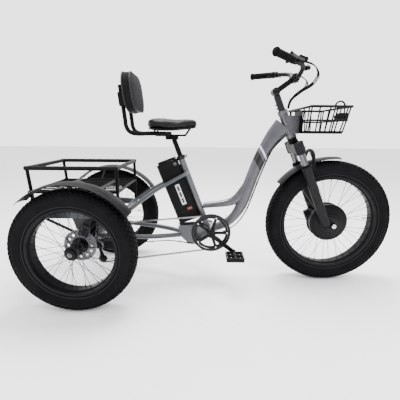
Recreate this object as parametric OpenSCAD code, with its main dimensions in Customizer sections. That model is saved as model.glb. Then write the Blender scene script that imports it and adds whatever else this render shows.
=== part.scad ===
// Electric cargo tricycle for an adult: one steered front wheel with a hub motor, two driven rear wheels.
// +X points forwards, +Y to the rider's left, +Z up. The origin is on the floor, midway between the ends.

/* [Wheels] */
// Distance from the rear axle to the front axle
wheelbase = 1303; // [1250:1:1360]
// Distance between the middles of the two rear wheels
track = 660; // [640:2:720]
// Outer diameter of the front tyre
front_tyre_d = 692; // [680:2:700]
// Outer diameter of each rear tyre
rear_tyre_d = 592; // [580:2:600]
// Diameter of the front bead seat
front_bead_d = 507; // [500:1:510]
// Diameter of each rear bead seat
rear_bead_d = 406; // [402:1:410]
// Width of the fat tyres
tyre_w = 98; // [94:1:100]
// Spokes in each wheel
spoke_count = 36; // [24:12:36]

/* [Steering] */
// Angle of the head tube to the floor, in degrees
head_angle = 66.3; // [65:0.1:68]
// Distance of the front axle ahead of the steering axis
fork_offset = 30; // [26:1:34]
// Length along the steering axis from the lower head cup down to the front axle
fork_length = 529; // [520:1:540]
// Length of the head tube
head_length = 134; // [126:1:140]
// Distance between the two fork legs
fork_spread = 154; // [152:1:160]

/* [Drive] */
// Height of the crank axle above the floor
crank_height = 296; // [286:1:306]
// Distance of the crank axle ahead of the rear axle
crank_reach = 643; // [630:1:656]
// Length of each crank arm
crank_length = 160; // [150:1:165]
// Teeth on the chainring
ring_teeth = 48; // [44:1:48]
// Teeth on the rear sprocket that carries the chain
cog_teeth = 18; // [16:2:20]

/* [Seat] */
// Angle of the seat tube to the floor, in degrees
seat_angle = 69.2; // [68:0.1:71]
// Length of the seat tube, from the height of the crank axle up
seat_tube_length = 442; // [430:1:450]
// Width of the saddle
saddle_w = 248; // [220:2:260]
// Width of the backrest pad
backrest_w = 300; // [280:2:320]

/* [Cargo] */
// Length of the rear basket
rear_basket_l = 453; // [440:1:460]
// Width of the rear basket
rear_basket_w = 380; // [360:2:384]
// Depth of the rear basket
rear_basket_h = 118; // [100:1:125]
// Width of the front basket
front_basket_w = 340; // [300:2:350]
// Length of the front basket
front_basket_l = 190; // [170:2:240]

/* [Hidden] */
$fn = 48;

frame_grey = [0.47, 0.47, 0.49];
stay_grey = [0.33, 0.35, 0.37];
black = [0.06, 0.06, 0.07];
rubber = [0.05, 0.05, 0.06];
silver = [0.75, 0.75, 0.77];
fit = 0.05;                                     // radial clearance of a running fit

// Wheels
front_r = front_tyre_d / 2;
rear_r = rear_tyre_d / 2;
origin_x = -(wheelbase + front_r - rear_r) / 2; // the rear axle, measured from the middle of the whole tricycle
half_track = track / 2;
axle_r = 8.5;                                   // rear half shafts
motor_axle_r = 6;
rotor_r = 80;                                   // brake rotors, all three

// Steering axis
tilt = 90 - head_angle;
cup_x = wheelbase - fork_offset * cos(tilt) - fork_length * sin(tilt);
cup_z = front_r - fork_offset * sin(tilt) + fork_length * cos(tilt);
steerer_r = 14.3;
leg_y = fork_spread / 2;
stanchion_r = 17;
leg_r = 24;
leg_top = -169;                                 // top of the fork's sliding legs, along the steering axis
crown_top = -8.5;
crown_bottom = -96;
stem_pivot_z = head_length + 108;
bar_clamp = [92, 0, 65];                        // handlebar clamp, measured from the stem's pivot

// Handlebar, measured from the middle of its clamp
grip_start = [-48, -160, 46];
grip_end = [-168, -280, 55];
bar_route = [[0, 0, 0], [1, -45, 0], [6, -72, 12], [7, -92, 28], [-3, -117, 39], grip_start, grip_end];
bar_r = 11.1;

// Drive
pitch = 12.7;                                   // half-inch roller chain
chain_y = -65;
chain_half_h = 2.5;
chain_w = 7;
mesh_gap = 0.3;
pulley_teeth = 11;
guide_at = [16, 214];
tension_at = [36, 136];
cog_list = [28, 24, 22, 20, 18, 16, 14];
cog_gap = 5;
crank_angle = -39;                              // right crank arm, above the horizontal

// Seat
seat_tilt = 90 - seat_angle;
seat_foot = crank_reach - 13;                   // where the seat tube's axis crosses the crank axle's height
post_r = 13.6;
battery_x = [-138, -22.3];
battery_half_w = 36;
battery_z = [125, 450];

// Rear basket and its carrier
basket_x = [-266, -266 + rear_basket_l];
basket_z = 544;
carrier_z = 418;
carrier_x = [-240, 175];
fender_r = 326;

// Front basket
basket_back_x = cup_x + 29;
front_basket_z = [832, 957];
basket_taper = 16;                              // how far the front basket's floor stops short of its rim
lamp_z = 917;

// ---- Helpers ----

function unit(v) = v / norm(v);
function pick(v, i) = is_list(v) ? v[i] : v;
function pitch_r(teeth) = pitch / (2 * sin(180 / teeth));
function tip_r(teeth) = pitch_r(teeth) - chain_half_h - mesh_gap;

// A smooth curve through the points p, with m steps from each point to the next
function bend(a, b, c, d, s) =
    0.5 * (2 * b + (c - a) * s + (2 * a - 5 * b + 4 * c - d) * s * s + (3 * b - a - 3 * c + d) * s * s * s);
function curve(p, m) = let (last = len(p) - 1) [
    for (i = [0 : last - 1]) for (k = [0 : m - 1])
        bend(p[max(i - 1, 0)], p[i], p[i + 1], p[min(i + 2, last)], k / m),
    p[last]];

// One ring of a swept tube: depth lies across the path and square to ref, width lies along ref
function ring(p, i, depth, width, sides, ref) =
    let (t = unit(p[min(i + 1, len(p) - 1)] - p[max(i - 1, 0)]),
         u = unit(cross(ref, t)),
         v = cross(t, u))
    [for (k = [0 : sides - 1]) p[i] + u * depth / 2 * cos(360 * k / sides) + v * width / 2 * sin(360 * k / sides)];

// A tube swept along points
module swept(p, depth, width, sides = 12, ref = [0, 1, 0]) {
    last = len(p) - 1;
    points = [for (i = [0 : last]) each ring(p, i, pick(depth, i), pick(width, i), sides, ref)];
    walls = [for (i = [0 : last - 1]) for (k = [0 : sides - 1])
        let (a = i * sides + k, b = i * sides + (k + 1) % sides) each [[a, a + sides, b], [b, a + sides, b + sides]]];
    start_cap = [for (k = [1 : sides - 2]) [0, k, k + 1]];
    end_cap = [for (k = [1 : sides - 2]) [last * sides, last * sides + k + 1, last * sides + k]];
    polyhedron(points = points, faces = concat(walls, start_cap, end_cap), convexity = 6);
}

module placed() translate([origin_x, 0, 0]) children();

// z runs up the steering axis from the lower head cup, x points forwards
module steering() placed() translate([cup_x, 0, cup_z]) rotate([0, -tilt, 0]) children();

// z runs up the seat tube from the height of the crank axle, x points forwards
module seating() placed() translate([seat_foot, 0, crank_height]) rotate([0, -seat_tilt, 0]) children();

module cranking() placed() translate([crank_reach, 0, crank_height]) children();

module at_bar() steering() translate([0, 0, stem_pivot_z]) rotate([0, tilt, 0]) translate(bar_clamp) children();

module both_sides() {
    children();
    mirror([0, 1, 0]) children();
}

// A round rod between two points
module rod(a, b, r) {
    d = b - a;
    translate(a) rotate([0, acos(d.z / norm(d)), atan2(d.y, d.x)]) cylinder(r = r, h = norm(d));
}

// A cylinder along Y between two distances
module y_cylinder(r, y0, y1) translate([0, y0, 0]) rotate([-90, 0, 0]) cylinder(r = r, h = y1 - y0);

// A flat plate whose outline lies in X and Z, between two distances along Y
module plate(points, y0, y1) translate([0, y1, 0]) rotate([90, 0, 0]) linear_extrude(y1 - y0) polygon(points);

// A ring turned about the Y axis, from a profile in radius and Y
module turned(points, angle = 360, start = 0)
    rotate([90, 0, 0]) rotate([0, 0, start]) rotate_extrude(angle = angle, $fn = 96)
        polygon([for (p = points) [p[0], -p[1]]]);

module box(x, y, z) translate([x[0], y[0], z[0]]) cube([x[1] - x[0], y[1] - y[0], z[1] - z[0]]);

// ---- Wheels ----

// Half of a tyre's section, from one bead over the crown: radius and distance from the middle
function shoulder(rc, h, w, a) = [rc + h * pow(sin(a), 0.85), (a > 90 ? -1 : 1) * w * pow(abs(cos(a)), 0.8)];

module tyre(r, bead) {
    mid = (r + bead) / 2 - 0.5;
    h = r - mid;
    w = tyre_w / 2;
    wall = 4;
    color(rubber) turned(concat(
        [[bead, 30], [bead, 35.8], [bead + 10, 35.8], [bead + 17, 40]],
        [for (a = [0 : 10 : 180]) shoulder(mid, h, w, a)],
        [[bead + 17, -40], [bead + 10, -35.8], [bead, -35.8], [bead, -30], [bead + 11, -31.5], [bead + 19, -36]],
        [for (a = [180 : -10 : 0]) shoulder(mid, h - wall, w - wall, a)],
        [[bead + 19, 36], [bead + 11, 31.5]]));
}

module rim(bead) color(black) turned([
    [bead, 20], [bead, 36], [bead + 9, 36], [bead + 9, 39], [bead - 2, 39], [bead - 4, 22], [bead - 11, 18],
    [bead - 11, -18], [bead - 4, -22], [bead - 2, -39], [bead + 9, -39], [bead + 9, -36], [bead, -36],
    [bead, -20], [bead - 7, -16], [bead - 7, 16]]);

// Crossed spokes from the hub's two flanges to the rim
module spokes(hub_r, flange_y, bead, lean) color(silver) for (i = [0 : spoke_count - 1]) {
    side = i % 2 == 0 ? 1 : -1;
    turn = (floor(i / 2) % 2 == 0 ? 1 : -1) * lean;
    a = 360 * i / spoke_count;
    cross_y = flange_y + (turn > 0 ? 1.7 : -1.7);
    rod([hub_r * cos(a + turn), side * cross_y, hub_r * sin(a + turn)],
        [(bead - 10) * cos(a), side * 8, (bead - 10) * sin(a)], 1.3);
}

module at_front_axle() placed() translate([wheelbase, 0, front_r]) children();
module at_rear_axle(y = 0) placed() translate([0, y, rear_r]) children();

module front_tyre() at_front_axle() tyre(front_r, front_bead_d / 2);
module front_rim() at_front_axle() rim(front_bead_d / 2);
module front_spokes() at_front_axle() spokes(100, 26, front_bead_d / 2, 7);

// Motor shell with its spoke flanges, side covers and the brake rotor on the left
module hub_motor() at_front_axle() color(black) {
    turned([[motor_axle_r + fit, -46], [38, -46], [50, -42], [96, -31], [105, -28], [105, -24], [99, -22],
            [99, 22], [105, 24], [105, 28], [96, 31], [50, 42], [30, 43], [30, 45], [motor_axle_r + fit, 45]]);
    difference() {
        turned([[30, 43], [30, 47], [rotor_r, 47], [rotor_r, 45], [60, 45]]);
        for (a = [0 : 30 : 330]) rotate([0, a, 0]) translate([60, 0, 0]) y_cylinder(7, 40, 50);
    }
}

module tyre_left() at_rear_axle(half_track) tyre(rear_r, rear_bead_d / 2);
module tyre_right() at_rear_axle(-half_track) tyre(rear_r, rear_bead_d / 2);
module rim_left() at_rear_axle(half_track) rim(rear_bead_d / 2);
module rim_right() at_rear_axle(-half_track) rim(rear_bead_d / 2);
module spokes_left() at_rear_axle(half_track) spokes(29, 30, rear_bead_d / 2, 38);
module spokes_right() at_rear_axle(-half_track) spokes(29, 30, rear_bead_d / 2, 38);

// A rear hub with its brake rotor and the half shaft that turns with it
module rear_hub(shaft_end) color(black) {
    turned([[0, shaft_end], [axle_r, shaft_end], [axle_r, -72], [26, -72], [26, -34], [33, -34], [33, -27],
            [22, -22], [22, 22], [33, 27], [33, 34], [24, 36], [20, 46], [0, 46]]);
    difference() {
        turned([[26, -70], [rotor_r, -70], [rotor_r, -68], [26, -68]]);
        for (a = [0 : 30 : 330]) rotate([0, a, 0]) translate([58, 0, 0]) y_cylinder(7, -75, -60);
    }
}

module hub_left() at_rear_axle(half_track) rear_hub(-half_track + 8);
module hub_right() at_rear_axle(-half_track) mirror([0, 1, 0]) rear_hub(-half_track - 4);

// ---- Frame ----

module head_tube() color(frame_grey) difference() {
    union() {
        steering() {
            cylinder(r = 24, h = head_length);
            cylinder(r = 27, h = 12);
            translate([0, 0, head_length - 12]) cylinder(r = 27, h = 12);
        }
        placed() plate([[cup_x - 12, cup_z + 12], [basket_back_x, cup_z + 12], [basket_back_x, cup_z + 104],
                        [cup_x - 50, cup_z + 104]], -30, 30);
    }
    steering() translate([0, 0, -20]) cylinder(r = 17, h = head_length + 40);
}

// A point at a share of the way from a to b, along X and along Z
function between(a, b, share) = [a.x + share[0] * (b.x - a.x), 0, a.z + share[1] * (b.z - a.z)];

head_end = [cup_x, 0, cup_z];
crank_end = [crank_reach, 0, crank_height];
main_shares = [[0.893, 1.099], [0.791, 1], [0.693, 0.8825], [0.607, 0.743], [0.531, 0.578], [0.469, 0.425],
               [0.41, 0.2755], [0.3145, 0.1455], [0.193, 0.061], [0.045, 0.0115]];
main_route = [for (share = main_shares) between(crank_end, head_end, share)];
main_depth = [104, 92, 74, 68, 66, 68, 62, 52, 48, 44];
step_start = between(crank_end, head_end, [0.481, 0.49]);
step_end = [seat_foot - 32, 0, crank_height + 138];
step_shares = [[1, 1], [0.866, 0.559], [0.696, 0.237], [0.474, 0.102], [0.231, 0.051], [0, 0]];
step_route = [for (share = step_shares) between(step_end, step_start, share)];
step_depth = [56, 58, 48, 40, 36, 34];

// The curved down tube and the branch that steps across to the seat tube
module main_tube() color(frame_grey) difference() {
    placed() {
        swept(curve(main_route, 2), curve(main_depth, 2), 50, 20);
        swept(curve(step_route, 2), curve(step_depth, 2), 38, 16);
    }
    steering() translate([0, 0, -20]) cylinder(r = 23.9, h = head_length + 40);
    steering() translate([0, 0, head_length - 12.1]) cylinder(r = 27.1, h = 40);
    cranking() y_cylinder(23.9, -60, 60);
    seating() cylinder(r = 17.4, h = seat_tube_length);
}

module seat_tube() color(frame_grey) seating() difference() {
    translate([0, 0, 18]) cylinder(r = 17.5, h = seat_tube_length - 18);
    translate([0, 0, 170]) cylinder(r = post_r + fit, h = seat_tube_length);
    rotate([0, seat_tilt, 0]) translate([13, 0, 0]) y_cylinder(24.1, -60, 60);
}

module bottom_bracket() color(frame_grey) cranking() difference() {
    y_cylinder(24, -50, 50);
    y_cylinder(17, -51, 51);
}

yoke = [[-185, 24], [-70, 34], [-18, 20], [-10, -22], [-60, -70], [-123, -84], [-170, -36]];
stay_route = [[470, -29, 268], [400, -62, 274], [300, -96, 280], [180, -112, 288], [40, -114, 296]];

// Two yoke plates behind the crank axle, and the two stays that run back to the rear axle tubes
module chain_stays() color(stay_grey) both_sides() {
    cranking() difference() {
        plate(yoke, -32, -26);
        y_cylinder(24, -60, 60);
    }
    difference() {
        placed() swept(curve(stay_route, 3), 30, 26, 14, [0, 0, 1]);
        cranking() plate(yoke, -32, -26);
    }
}

seat_top = [seat_foot - seat_tube_length * sin(seat_tilt), 0, crank_height + seat_tube_length * cos(seat_tilt)];
seat_stay_route = [seat_top + [38, -15, -87], seat_top + [23, -44, -95], seat_top + [-7, -52, -110],
                   seat_top + [-73, -60, -147], [333, -92, 527], [196, -180, 430]];

module seat_stays() color(stay_grey) difference() {
    placed() both_sides() swept(curve(seat_stay_route, 3), 22, 22, 12, [0, 0, 1]);
    seating() cylinder(r = 17.5, h = seat_tube_length);
    carrier_tubes(13.9);
}

module carrier_tubes(r) for (x = carrier_x) placed() translate([x, 0, carrier_z]) y_cylinder(r, -200, 200);

// The beams under the basket, the axle tubes and the plates that join them
module rear_subframe() color(stay_grey) {
    difference() {
        union() {
            carrier_tubes(14);
            both_sides() placed() plate([[-240, 404], [175, 404], [175, 430], [60, 440], [-60, 446], [-160, 440],
                                         [-240, 430]], -174, -146);
            both_sides() placed() plate([[-75, 410], [60, 410], [34, 296], [0, 268], [-34, 296]], -166, -158);
            both_sides() placed() rod([-226, -162, 408], [-30, -162, 309], 7.5);
            at_rear_axle() y_cylinder(24, -34, 236);
            at_rear_axle() y_cylinder(24, -236, -88);
        }
        at_rear_axle() y_cylinder(20, -240, 240);
    }
    // Hanger plate on the right, outside the sprockets
    difference() {
        union() {
            placed() plate([[-14, 400], [30, 400], [28, 290], [20, 246], [-4, 246], [-26, 290]], -94, -88);
            placed() box([-14, 30], [-166, -88], [392, 410]);
        }
        at_rear_axle() y_cylinder(20, -120, -60);
    }
}

module race(r_in, r_out, h) difference() {
    cylinder(r = r_out, h = h);
    translate([0, 0, -1]) cylinder(r = r_in, h = h + 2);
}

module y_race(r_in, r_out, y0, y1) translate([0, y0, 0]) rotate([-90, 0, 0]) race(r_in, r_out, y1 - y0);

// Head cups, crank bearings and axle bearings: separate rings pressed into the frame
module bearings() color(silver) {
    steering() {
        race(steerer_r + fit, 17, 12);
        translate([0, 0, -8]) race(steerer_r + fit, 27, 8);
        translate([0, 0, head_length - 12]) race(steerer_r + fit, 17, 12);
        translate([0, 0, head_length]) race(steerer_r + fit, 26, 8);
    }
    cranking() both_sides() y_race(axle_r + fit, 17, -52, -38);
    both_sides() at_rear_axle() y_race(axle_r + fit, 20, 224, 236);
    both_sides() at_rear_axle() y_race(axle_r + fit, 20, 122, 134);
    at_rear_axle() y_race(axle_r + fit, 20, -34, -22);
    at_rear_axle() y_race(axle_r + fit, 20, -94, -88);
}

module seat_clamp() color(black) seating() {
    translate([0, 0, seat_tube_length - 18]) race(17.5, 22, 20);
    difference() {
        box([20, 34], [-12, 12], [seat_tube_length - 16, seat_tube_length - 2]);
        translate([0, 0, seat_tube_length - 20]) cylinder(r = 21.9, h = 30);
    }
}

module battery_dock() color(black) seating() {
    box([-136, -17.2], [-34, 34], [92, battery_z[0] - 0.4]);
    box([-22, -17.2], [-14, 14], [battery_z[0] - 1, seat_tube_length - 42]);
}

module battery_case() color(black) seating() {
    difference() {
        union() {
            box(battery_x, [-battery_half_w, battery_half_w], [battery_z[0], battery_z[1] - 14]);
            box([battery_x[0] + 12, -76], [-30, 30], [battery_z[1] - 15, battery_z[1]]);
        }
        for (x = battery_x) for (y = [-1, 1])
            translate([x, y * battery_half_w, 0]) rotate([0, 0, 45]) box([-7, 7], [-7, 7], [100, 460]);
    }
}

// A folding bail on pins at both sides of the battery's top
module battery_handle() color(black) seating() translate([-100, 0, battery_z[1] - 7]) {
    both_sides() {
        y_cylinder(6, -34.6, -30.4);
        box([0, 70], [-34.6, -30.4], [-6, 6]);
    }
    box([60, 70], [-34.6, 34.6], [-6, 6]);
}

// ---- Steering and front end ----

module fork_crown() color(black) steering() {
    difference() {
        union() {
            translate([0, 0, -40]) cylinder(r = steerer_r, h = 40 + head_length + 66);
            translate([0, 0, -40]) cylinder(r = 25, h = 40 + crown_top);
            box([-23, 23], [-leg_y, leg_y], [-88, -36]);
            both_sides() translate([0, leg_y, crown_bottom]) cylinder(r = 26, h = 58);
        }
        both_sides() translate([0, leg_y, crown_bottom - 1]) cylinder(r = stanchion_r, h = 37);
    }
}

module stanchions() color(silver) steering() both_sides()
    translate([0, leg_y, -330]) cylinder(r = stanchion_r, h = 270);

// The column of the stem, with the knuckle and pin that the arm turns on
module stem_quill() color(black) steering() {
    difference() {
        translate([0, 0, head_length + 8.5]) cylinder(r = 17.5, h = 77);
        translate([0, 0, 100]) cylinder(r = steerer_r, h = head_length - 34);
    }
    box([-14, 14], [-11, 11], [head_length + 84, stem_pivot_z - 6]);
    translate([0, 0, stem_pivot_z]) y_cylinder(19, -11, 11);
    translate([0, 0, stem_pivot_z]) y_cylinder(4, -24, 24);
}

module stem_arm() color(black) steering() translate([0, 0, stem_pivot_z]) rotate([0, tilt, 0]) {
    reach = norm(bar_clamp);
    lift = atan2(bar_clamp.z, bar_clamp.x);
    difference() {
        union() {
            y_cylinder(20, -20, 20);
            rotate([0, -lift, 0]) {
                box([0, reach - 19], [-19, 19], [-13, 13]);
                translate([reach, 0, 0]) y_cylinder(22, -24, 24);
            }
        }
        y_cylinder(4 + fit, -30, 30);
        rotate([0, -lift, 0]) box([-40, 22], [-11.5, 11.5], [-40, 40]);
        rotate([0, -lift, 0]) translate([reach, 0, 0]) y_cylinder(15.9, -30, 30);
    }
}

module handlebar() color(black) at_bar() {
    y_cylinder(15.9, -42, 42);
    both_sides() swept(curve(bar_route, 3), 2 * bar_r, 2 * bar_r, 12, [0, 0, 1]);
}

// x runs outwards along the right grip, y forwards, z up
module at_grip() at_bar() translate(grip_start) rotate([0, 0, -135]) rotate([0, -3, 0]) children();
module at_left_grip() at_bar() mirror([0, 1, 0]) translate(grip_start) rotate([0, 0, -135]) rotate([0, -3, 0])
    children();

module grip() rotate([0, 90, 0]) difference() {
    union() {
        translate([0, 0, 42]) cylinder(r = 16.5, h = 128);
        translate([0, 0, 164]) cylinder(r = 19, h = 10);
    }
    translate([0, 0, 20]) cylinder(r = bar_r, h = 150);
}

module grips() color(rubber) {
    at_grip() grip();
    at_left_grip() grip();
}

lever_pivot = [4, 34, -2];

// Clamp and fork-shaped bracket that a brake lever turns in
module lever_bracket() difference() {
    union() {
        rotate([0, 90, 0]) cylinder(r = 16, h = 16);
        box([0, 14], [8, 40], [-9, 5]);
    }
    rotate([0, 90, 0]) translate([0, 0, -1]) cylinder(r = bar_r, h = 20);
    translate(lever_pivot + [0, 0, -4.5]) cylinder(r = 9.5, h = 9);
    box([-1, 20], [lever_pivot.y - 9.5, lever_pivot.y + 20], [-6.5, 2.5]);
}

module lever_pin() translate(lever_pivot + [0, 0, -8]) cylinder(r = 2.5, h = 16);

// Lever brackets and pins, the shifter and throttle collars, the display with its foot, and the bell
module bar_controls() color(black) {
    at_grip() {
        lever_bracket();
        lever_pin();
        rotate([0, 90, 0]) translate([0, 0, 22]) race(bar_r, 17.5, 14);
    }
    at_left_grip() {
        lever_bracket();
        lever_pin();
        rotate([0, 90, 0]) translate([0, 0, 22]) race(bar_r, 17.5, 14);
    }
    at_bar() translate([-3, -117, 39]) {
        translate([-6, 0, 24]) rotate([0, 18, 0]) box([-22, 22], [-29, 29], [-7, 7]);
        box([-14, 2], [-8, 8], [9, 20]);
    }
    at_bar() translate([7, -80, 22]) {
        box([2, 24], [-6, 6], [0, 12]);
        translate([25, 0, 4]) cylinder(r = 16, h = 12);
        translate([25, 0, 16]) cylinder(r = 11, h = 6);
    }
}

// A brake blade: an eye on the pivot and a curved finger blade with a ball end
module brake_blade() translate(lever_pivot) difference() {
    union() {
        translate([0, 0, -4]) cylinder(r = 9, h = 8);
        box([0, 60], [1, 9], [-4, 4]);
        translate([58, 5, 0]) rotate([0, 0, 6]) box([0, 62], [-4, 4], [-4, 4]);
        translate([122, 12, 0]) sphere(r = 7);
    }
    translate([0, 0, -10]) cylinder(r = 2.5 + fit, h = 20);
}

module brake_lever_right() color(black) at_grip() brake_blade();
module brake_lever_left() color(black) at_left_grip() brake_blade();

// A thumb paddle on a ring that turns on the bar next to its collar
module thumb_paddle(length) {
    rotate([0, 90, 0]) translate([0, 0, 36.4]) race(bar_r + 0.6, 15, 5);
    box([36.4, 41.4], [-length, -13.5], [-9, -3]);
    box([30, 41.4], [-length - 5, -length + 6], [-12, -3]);
}

module thumb_throttle() color(black) at_left_grip() thumb_paddle(30);
module shift_lever() color(black) at_grip() thumb_paddle(24);

// Legs, dropouts, the arch in front of the stanchions and the fixed motor axle with its nuts
module fork_lowers() color(black) steering() {
    difference() {
        both_sides() {
            translate([0, leg_y, -512]) cylinder(r = leg_r, h = 512 + leg_top);
            box([14, 40], [leg_y - 12, leg_y + 12], [leg_top - 34, leg_top - 2]);
        }
        both_sides() translate([0, leg_y, -400]) cylinder(r = stanchion_r + fit, h = 300);
    }
    both_sides() plate([[-22, -500], [22, -500], [fork_offset + 16, -518], [fork_offset + 16, -540],
                        [fork_offset - 8, -548], [-20, -524]], leg_y - 10, leg_y + 10);
    translate([fork_offset, 0, -fork_length]) {
        y_cylinder(motor_axle_r, -leg_y - 20, leg_y + 20);
        both_sides() y_cylinder(12, leg_y + 10, leg_y + 18);
        both_sides() y_cylinder(10, 50, leg_y - 10);
    }
    both_sides() swept(curve([[34, leg_y, leg_top - 18], [54, leg_y - 12, leg_top + 22],
                              [68, 40, leg_top + 50], [73, 0, leg_top + 58]], 3), 20, 16, 10, [0.2, 1, 0.1]);
    // Brake caliper behind the left leg
    difference() {
        box([-62, -22], [41, 60], [-500, -440]);
        translate([fork_offset, 0, -fork_length]) y_cylinder(rotor_r + 3, 43.5, 48.5);
    }
    box([-50, -10], [52, leg_y], [-490, -450]);
}

module front_fender() color(black) {
    at_front_axle() turned(fender_section(366, 49), 57, 86);
    steering() box([68, 78], [-9, 9], [-167, -118]);
}

function fender_section(r, half_w) = concat(
    [for (k = [-4 : 4]) [r - 7 * k * k / 16, half_w * k / 4]],
    [for (k = [4 : -1 : -4]) [r - 2.5 - 7 * k * k / 16, half_w * k / 4]]);

module fender(side) color(black) {
    at_rear_axle(side * half_track) turned(fender_section(fender_r, 50), 100, 34);
    placed() scale_side(side) {
        rod([carrier_x[1] + 2, -198, carrier_z + 6], [258, -half_track + 47, 486], 5);
        rod([carrier_x[0] - 2, -198, carrier_z + 6], [-195, -half_track + 47, 546], 5);
        rod([-30, -rear_basket_w / 2 - 1, basket_z + 2], [-30, -half_track + 47, 611], 5);
    }
}

module scale_side(side) mirror([0, side > 0 ? 1 : 0, 0]) children();

module fender_left() fender(1);
module fender_right() fender(-1);

// ---- Baskets and light ----

// A closed loop of rod with square corners, at one height. The cross rods are a little thinner.
module rod_loop(x, half_w, z, r) {
    for (y = [-half_w, half_w]) rod([x[0] - r, y, z], [x[1] + r, y, z], r);
    for (i = x) rod([i, -half_w, z], [i, half_w, z], r - 0.4);
}

module rear_basket() color(black) placed() difference() {
    hw = rear_basket_w / 2;
    x = basket_x + [10, -10];
    union() {
        rod_loop(x, hw, basket_z + rear_basket_h, 10.5);
        rod_loop(x, hw, basket_z, 7);
        for (i = x) for (y = [-hw, hw])
            rod([i, y, basket_z + rear_basket_h], [i < 0 ? carrier_x[0] : carrier_x[1], y, carrier_z + 13], 8.5);
        for (k = [-3 : 3]) rod([x[0], k * hw / 4, basket_z], [x[1], k * hw / 4, basket_z], 4);
        for (i = [-150, 70]) box([i - 16, i + 16], [-hw, hw], [basket_z + 3, basket_z + 6]);
    }
    for (i = [-150, 70]) for (y = [-118, 118]) translate([i, y, basket_z - 10]) cylinder(r = 3.25, h = 30);
}

// Tapered basket of flat bars and wire on a rigid floor, with a hoop for the headlight
module front_basket() color(black) placed() translate([basket_back_x, 0, 0]) {
    low = front_basket_z[0];
    high = front_basket_z[1];
    hw = front_basket_w / 2;
    lw = hw - 30;
    ll = front_basket_l - basket_taper;
    box([0, 4], [-60, 60], [low, high - 12]);
    difference() {
        box([4, ll], [-lw, lw], [low, low + 14]);
        box([18, ll - 14], [-lw + 14, lw - 14], [low - 1, low + 20]);
    }
    for (k = [-3 : 3]) box([10, ll - 8], [k * lw / 4 - 2.5, k * lw / 4 + 2.5], [low + 4, low + 8]);
    for (k = [1 : 4]) box([k * ll / 5 - 2.5, k * ll / 5 + 2.5], [-lw + 8, lw - 8], [low + 4, low + 8]);
    rod_loop([4.5, front_basket_l], hw, high, 6);
    for (y = [-1, 1]) {
        for (k = [0 : 4]) {
            f = [0.02, 0.22, 0.48, 0.66, 0.97][k];
            rod([f * ll + 6, y * (lw - 3), low + 6], [f * front_basket_l + 4, y * hw, high], 3.5);
        }
        rod([2, y * (lw + 13), (low + high) / 2], [(ll + front_basket_l) / 2 + 4, y * (lw + 13), (low + high) / 2], 4.5);
    }
    for (k = [-2 : 2]) {
        rod([ll - 3, k * lw / 2.4, low + 6], [front_basket_l, k * hw / 2.4, high], 3.5);
        rod([6.2, k * lw / 2.4, low + 6], [5.6, k * hw / 2.4, high], 3.3);
    }
    for (i = [6, (ll + front_basket_l) / 2 - 1])
        rod([i, -lw - 14, (low + high) / 2 + 0.4], [i, lw + 14, (low + high) / 2 + 0.4], 3.9);
    // Hoop that rises from the rim and carries the headlight
    translate([front_basket_l + 25, 0, high + 14]) rotate([90, 0, 0]) rotate_extrude(angle = 180)
        translate([25, 0]) circle(r = 4.6, $fn = 24);
    rod([front_basket_l + 0.3, 0, high + 1], [front_basket_l + 0.3, 0, high + 16], 3.7);
    rod([front_basket_l + 50.2, 0, lamp_z + 14], [front_basket_l + 50.2, 0, high + 16], 3.7);
}

module headlight() color(black) placed() translate([basket_back_x + front_basket_l, 0, lamp_z]) {
    box([20, 62], [-24, 24], [-20, 20]);
    box([2, 21], [-9, 9], [-8, 8]);
    rotate([0, 90, 0]) translate([0, 0, 62]) cylinder(r = 17, h = 4);
}

// ---- Drive ----

// Each wheel the chain runs round: place, pitch radius and sense (1 turns against the clock seen from the right)
chain_wheels = [[[crank_reach, crank_height], pitch_r(ring_teeth), -1], [tension_at, pitch_r(pulley_teeth), -1],
                [guide_at, pitch_r(pulley_teeth), 1], [[0, rear_r], pitch_r(cog_teeth), -1]];

// Direction of the straight run from one wheel to the next
function run_angle(a, b) = let (d = b[0] - a[0])
    atan2(d.y, d.x) - asin((b[2] * b[1] - a[2] * a[1]) / norm(d));

// Points along the chain's loop, set off to its left by d
function chain_loop(d) = [for (i = [0 : 3])
    let (w = chain_wheels[i],
         start = run_angle(chain_wheels[(i + 3) % 4], w) - 90 * w[2],
         stop = run_angle(w, chain_wheels[(i + 1) % 4]) - 90 * w[2],
         turn = w[2] * (w[2] * (stop - start) - 360 * floor(w[2] * (stop - start) / 360)),
         steps = ceil(abs(turn) / 7.5))
    for (k = [0 : steps]) let (a = start + turn * k / steps) w[0] + (w[1] - w[2] * d) * [cos(a), sin(a)]];

module chain() color(silver) placed() translate([0, chain_y + chain_w / 2, 0]) rotate([90, 0, 0])
    linear_extrude(chain_w) difference() {
        polygon(chain_loop(chain_half_h));
        polygon(chain_loop(-chain_half_h));
    }

module cassette() color(silver) at_rear_axle() {
    y_race(axle_r + fit, 15, -80, -40);
    for (i = [0 : len(cog_list) - 1]) {
        y = chain_y + (4 - i) * cog_gap;
        y_race(14.5, tip_r(cog_list[i]), y - 1, y + 1);
    }
}

module derailleur_body() color(black) placed() {
    rod([8, -88, 254], [8, -76, 254], 8);
    rod([8, -80, 254], [guide_at.x, -80, guide_at.y], 7);
    rod([guide_at.x, -84, guide_at.y], [guide_at.x, -73, guide_at.y], 9);
}

function cage_axis() = tension_at - guide_at;

// Two side plates with a pin for each pulley
module derailleur_cage() color(black) placed() translate([guide_at.x, chain_y, guide_at.y]) {
    turn = -atan2(cage_axis().y, cage_axis().x);
    for (y = [-7.5, 5.5]) rotate([0, turn, 0]) {
        y_cylinder(11, y, y + 2);
        box([0, norm(cage_axis())], [y, y + 2], [-6, 6]);
        translate([norm(cage_axis()), 0, 0]) y_cylinder(11, y, y + 2);
    }
    y_cylinder(3, -7.5, 7.5);
    translate([cage_axis().x, 0, cage_axis().y]) y_cylinder(3, -7.5, 7.5);
}

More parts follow.
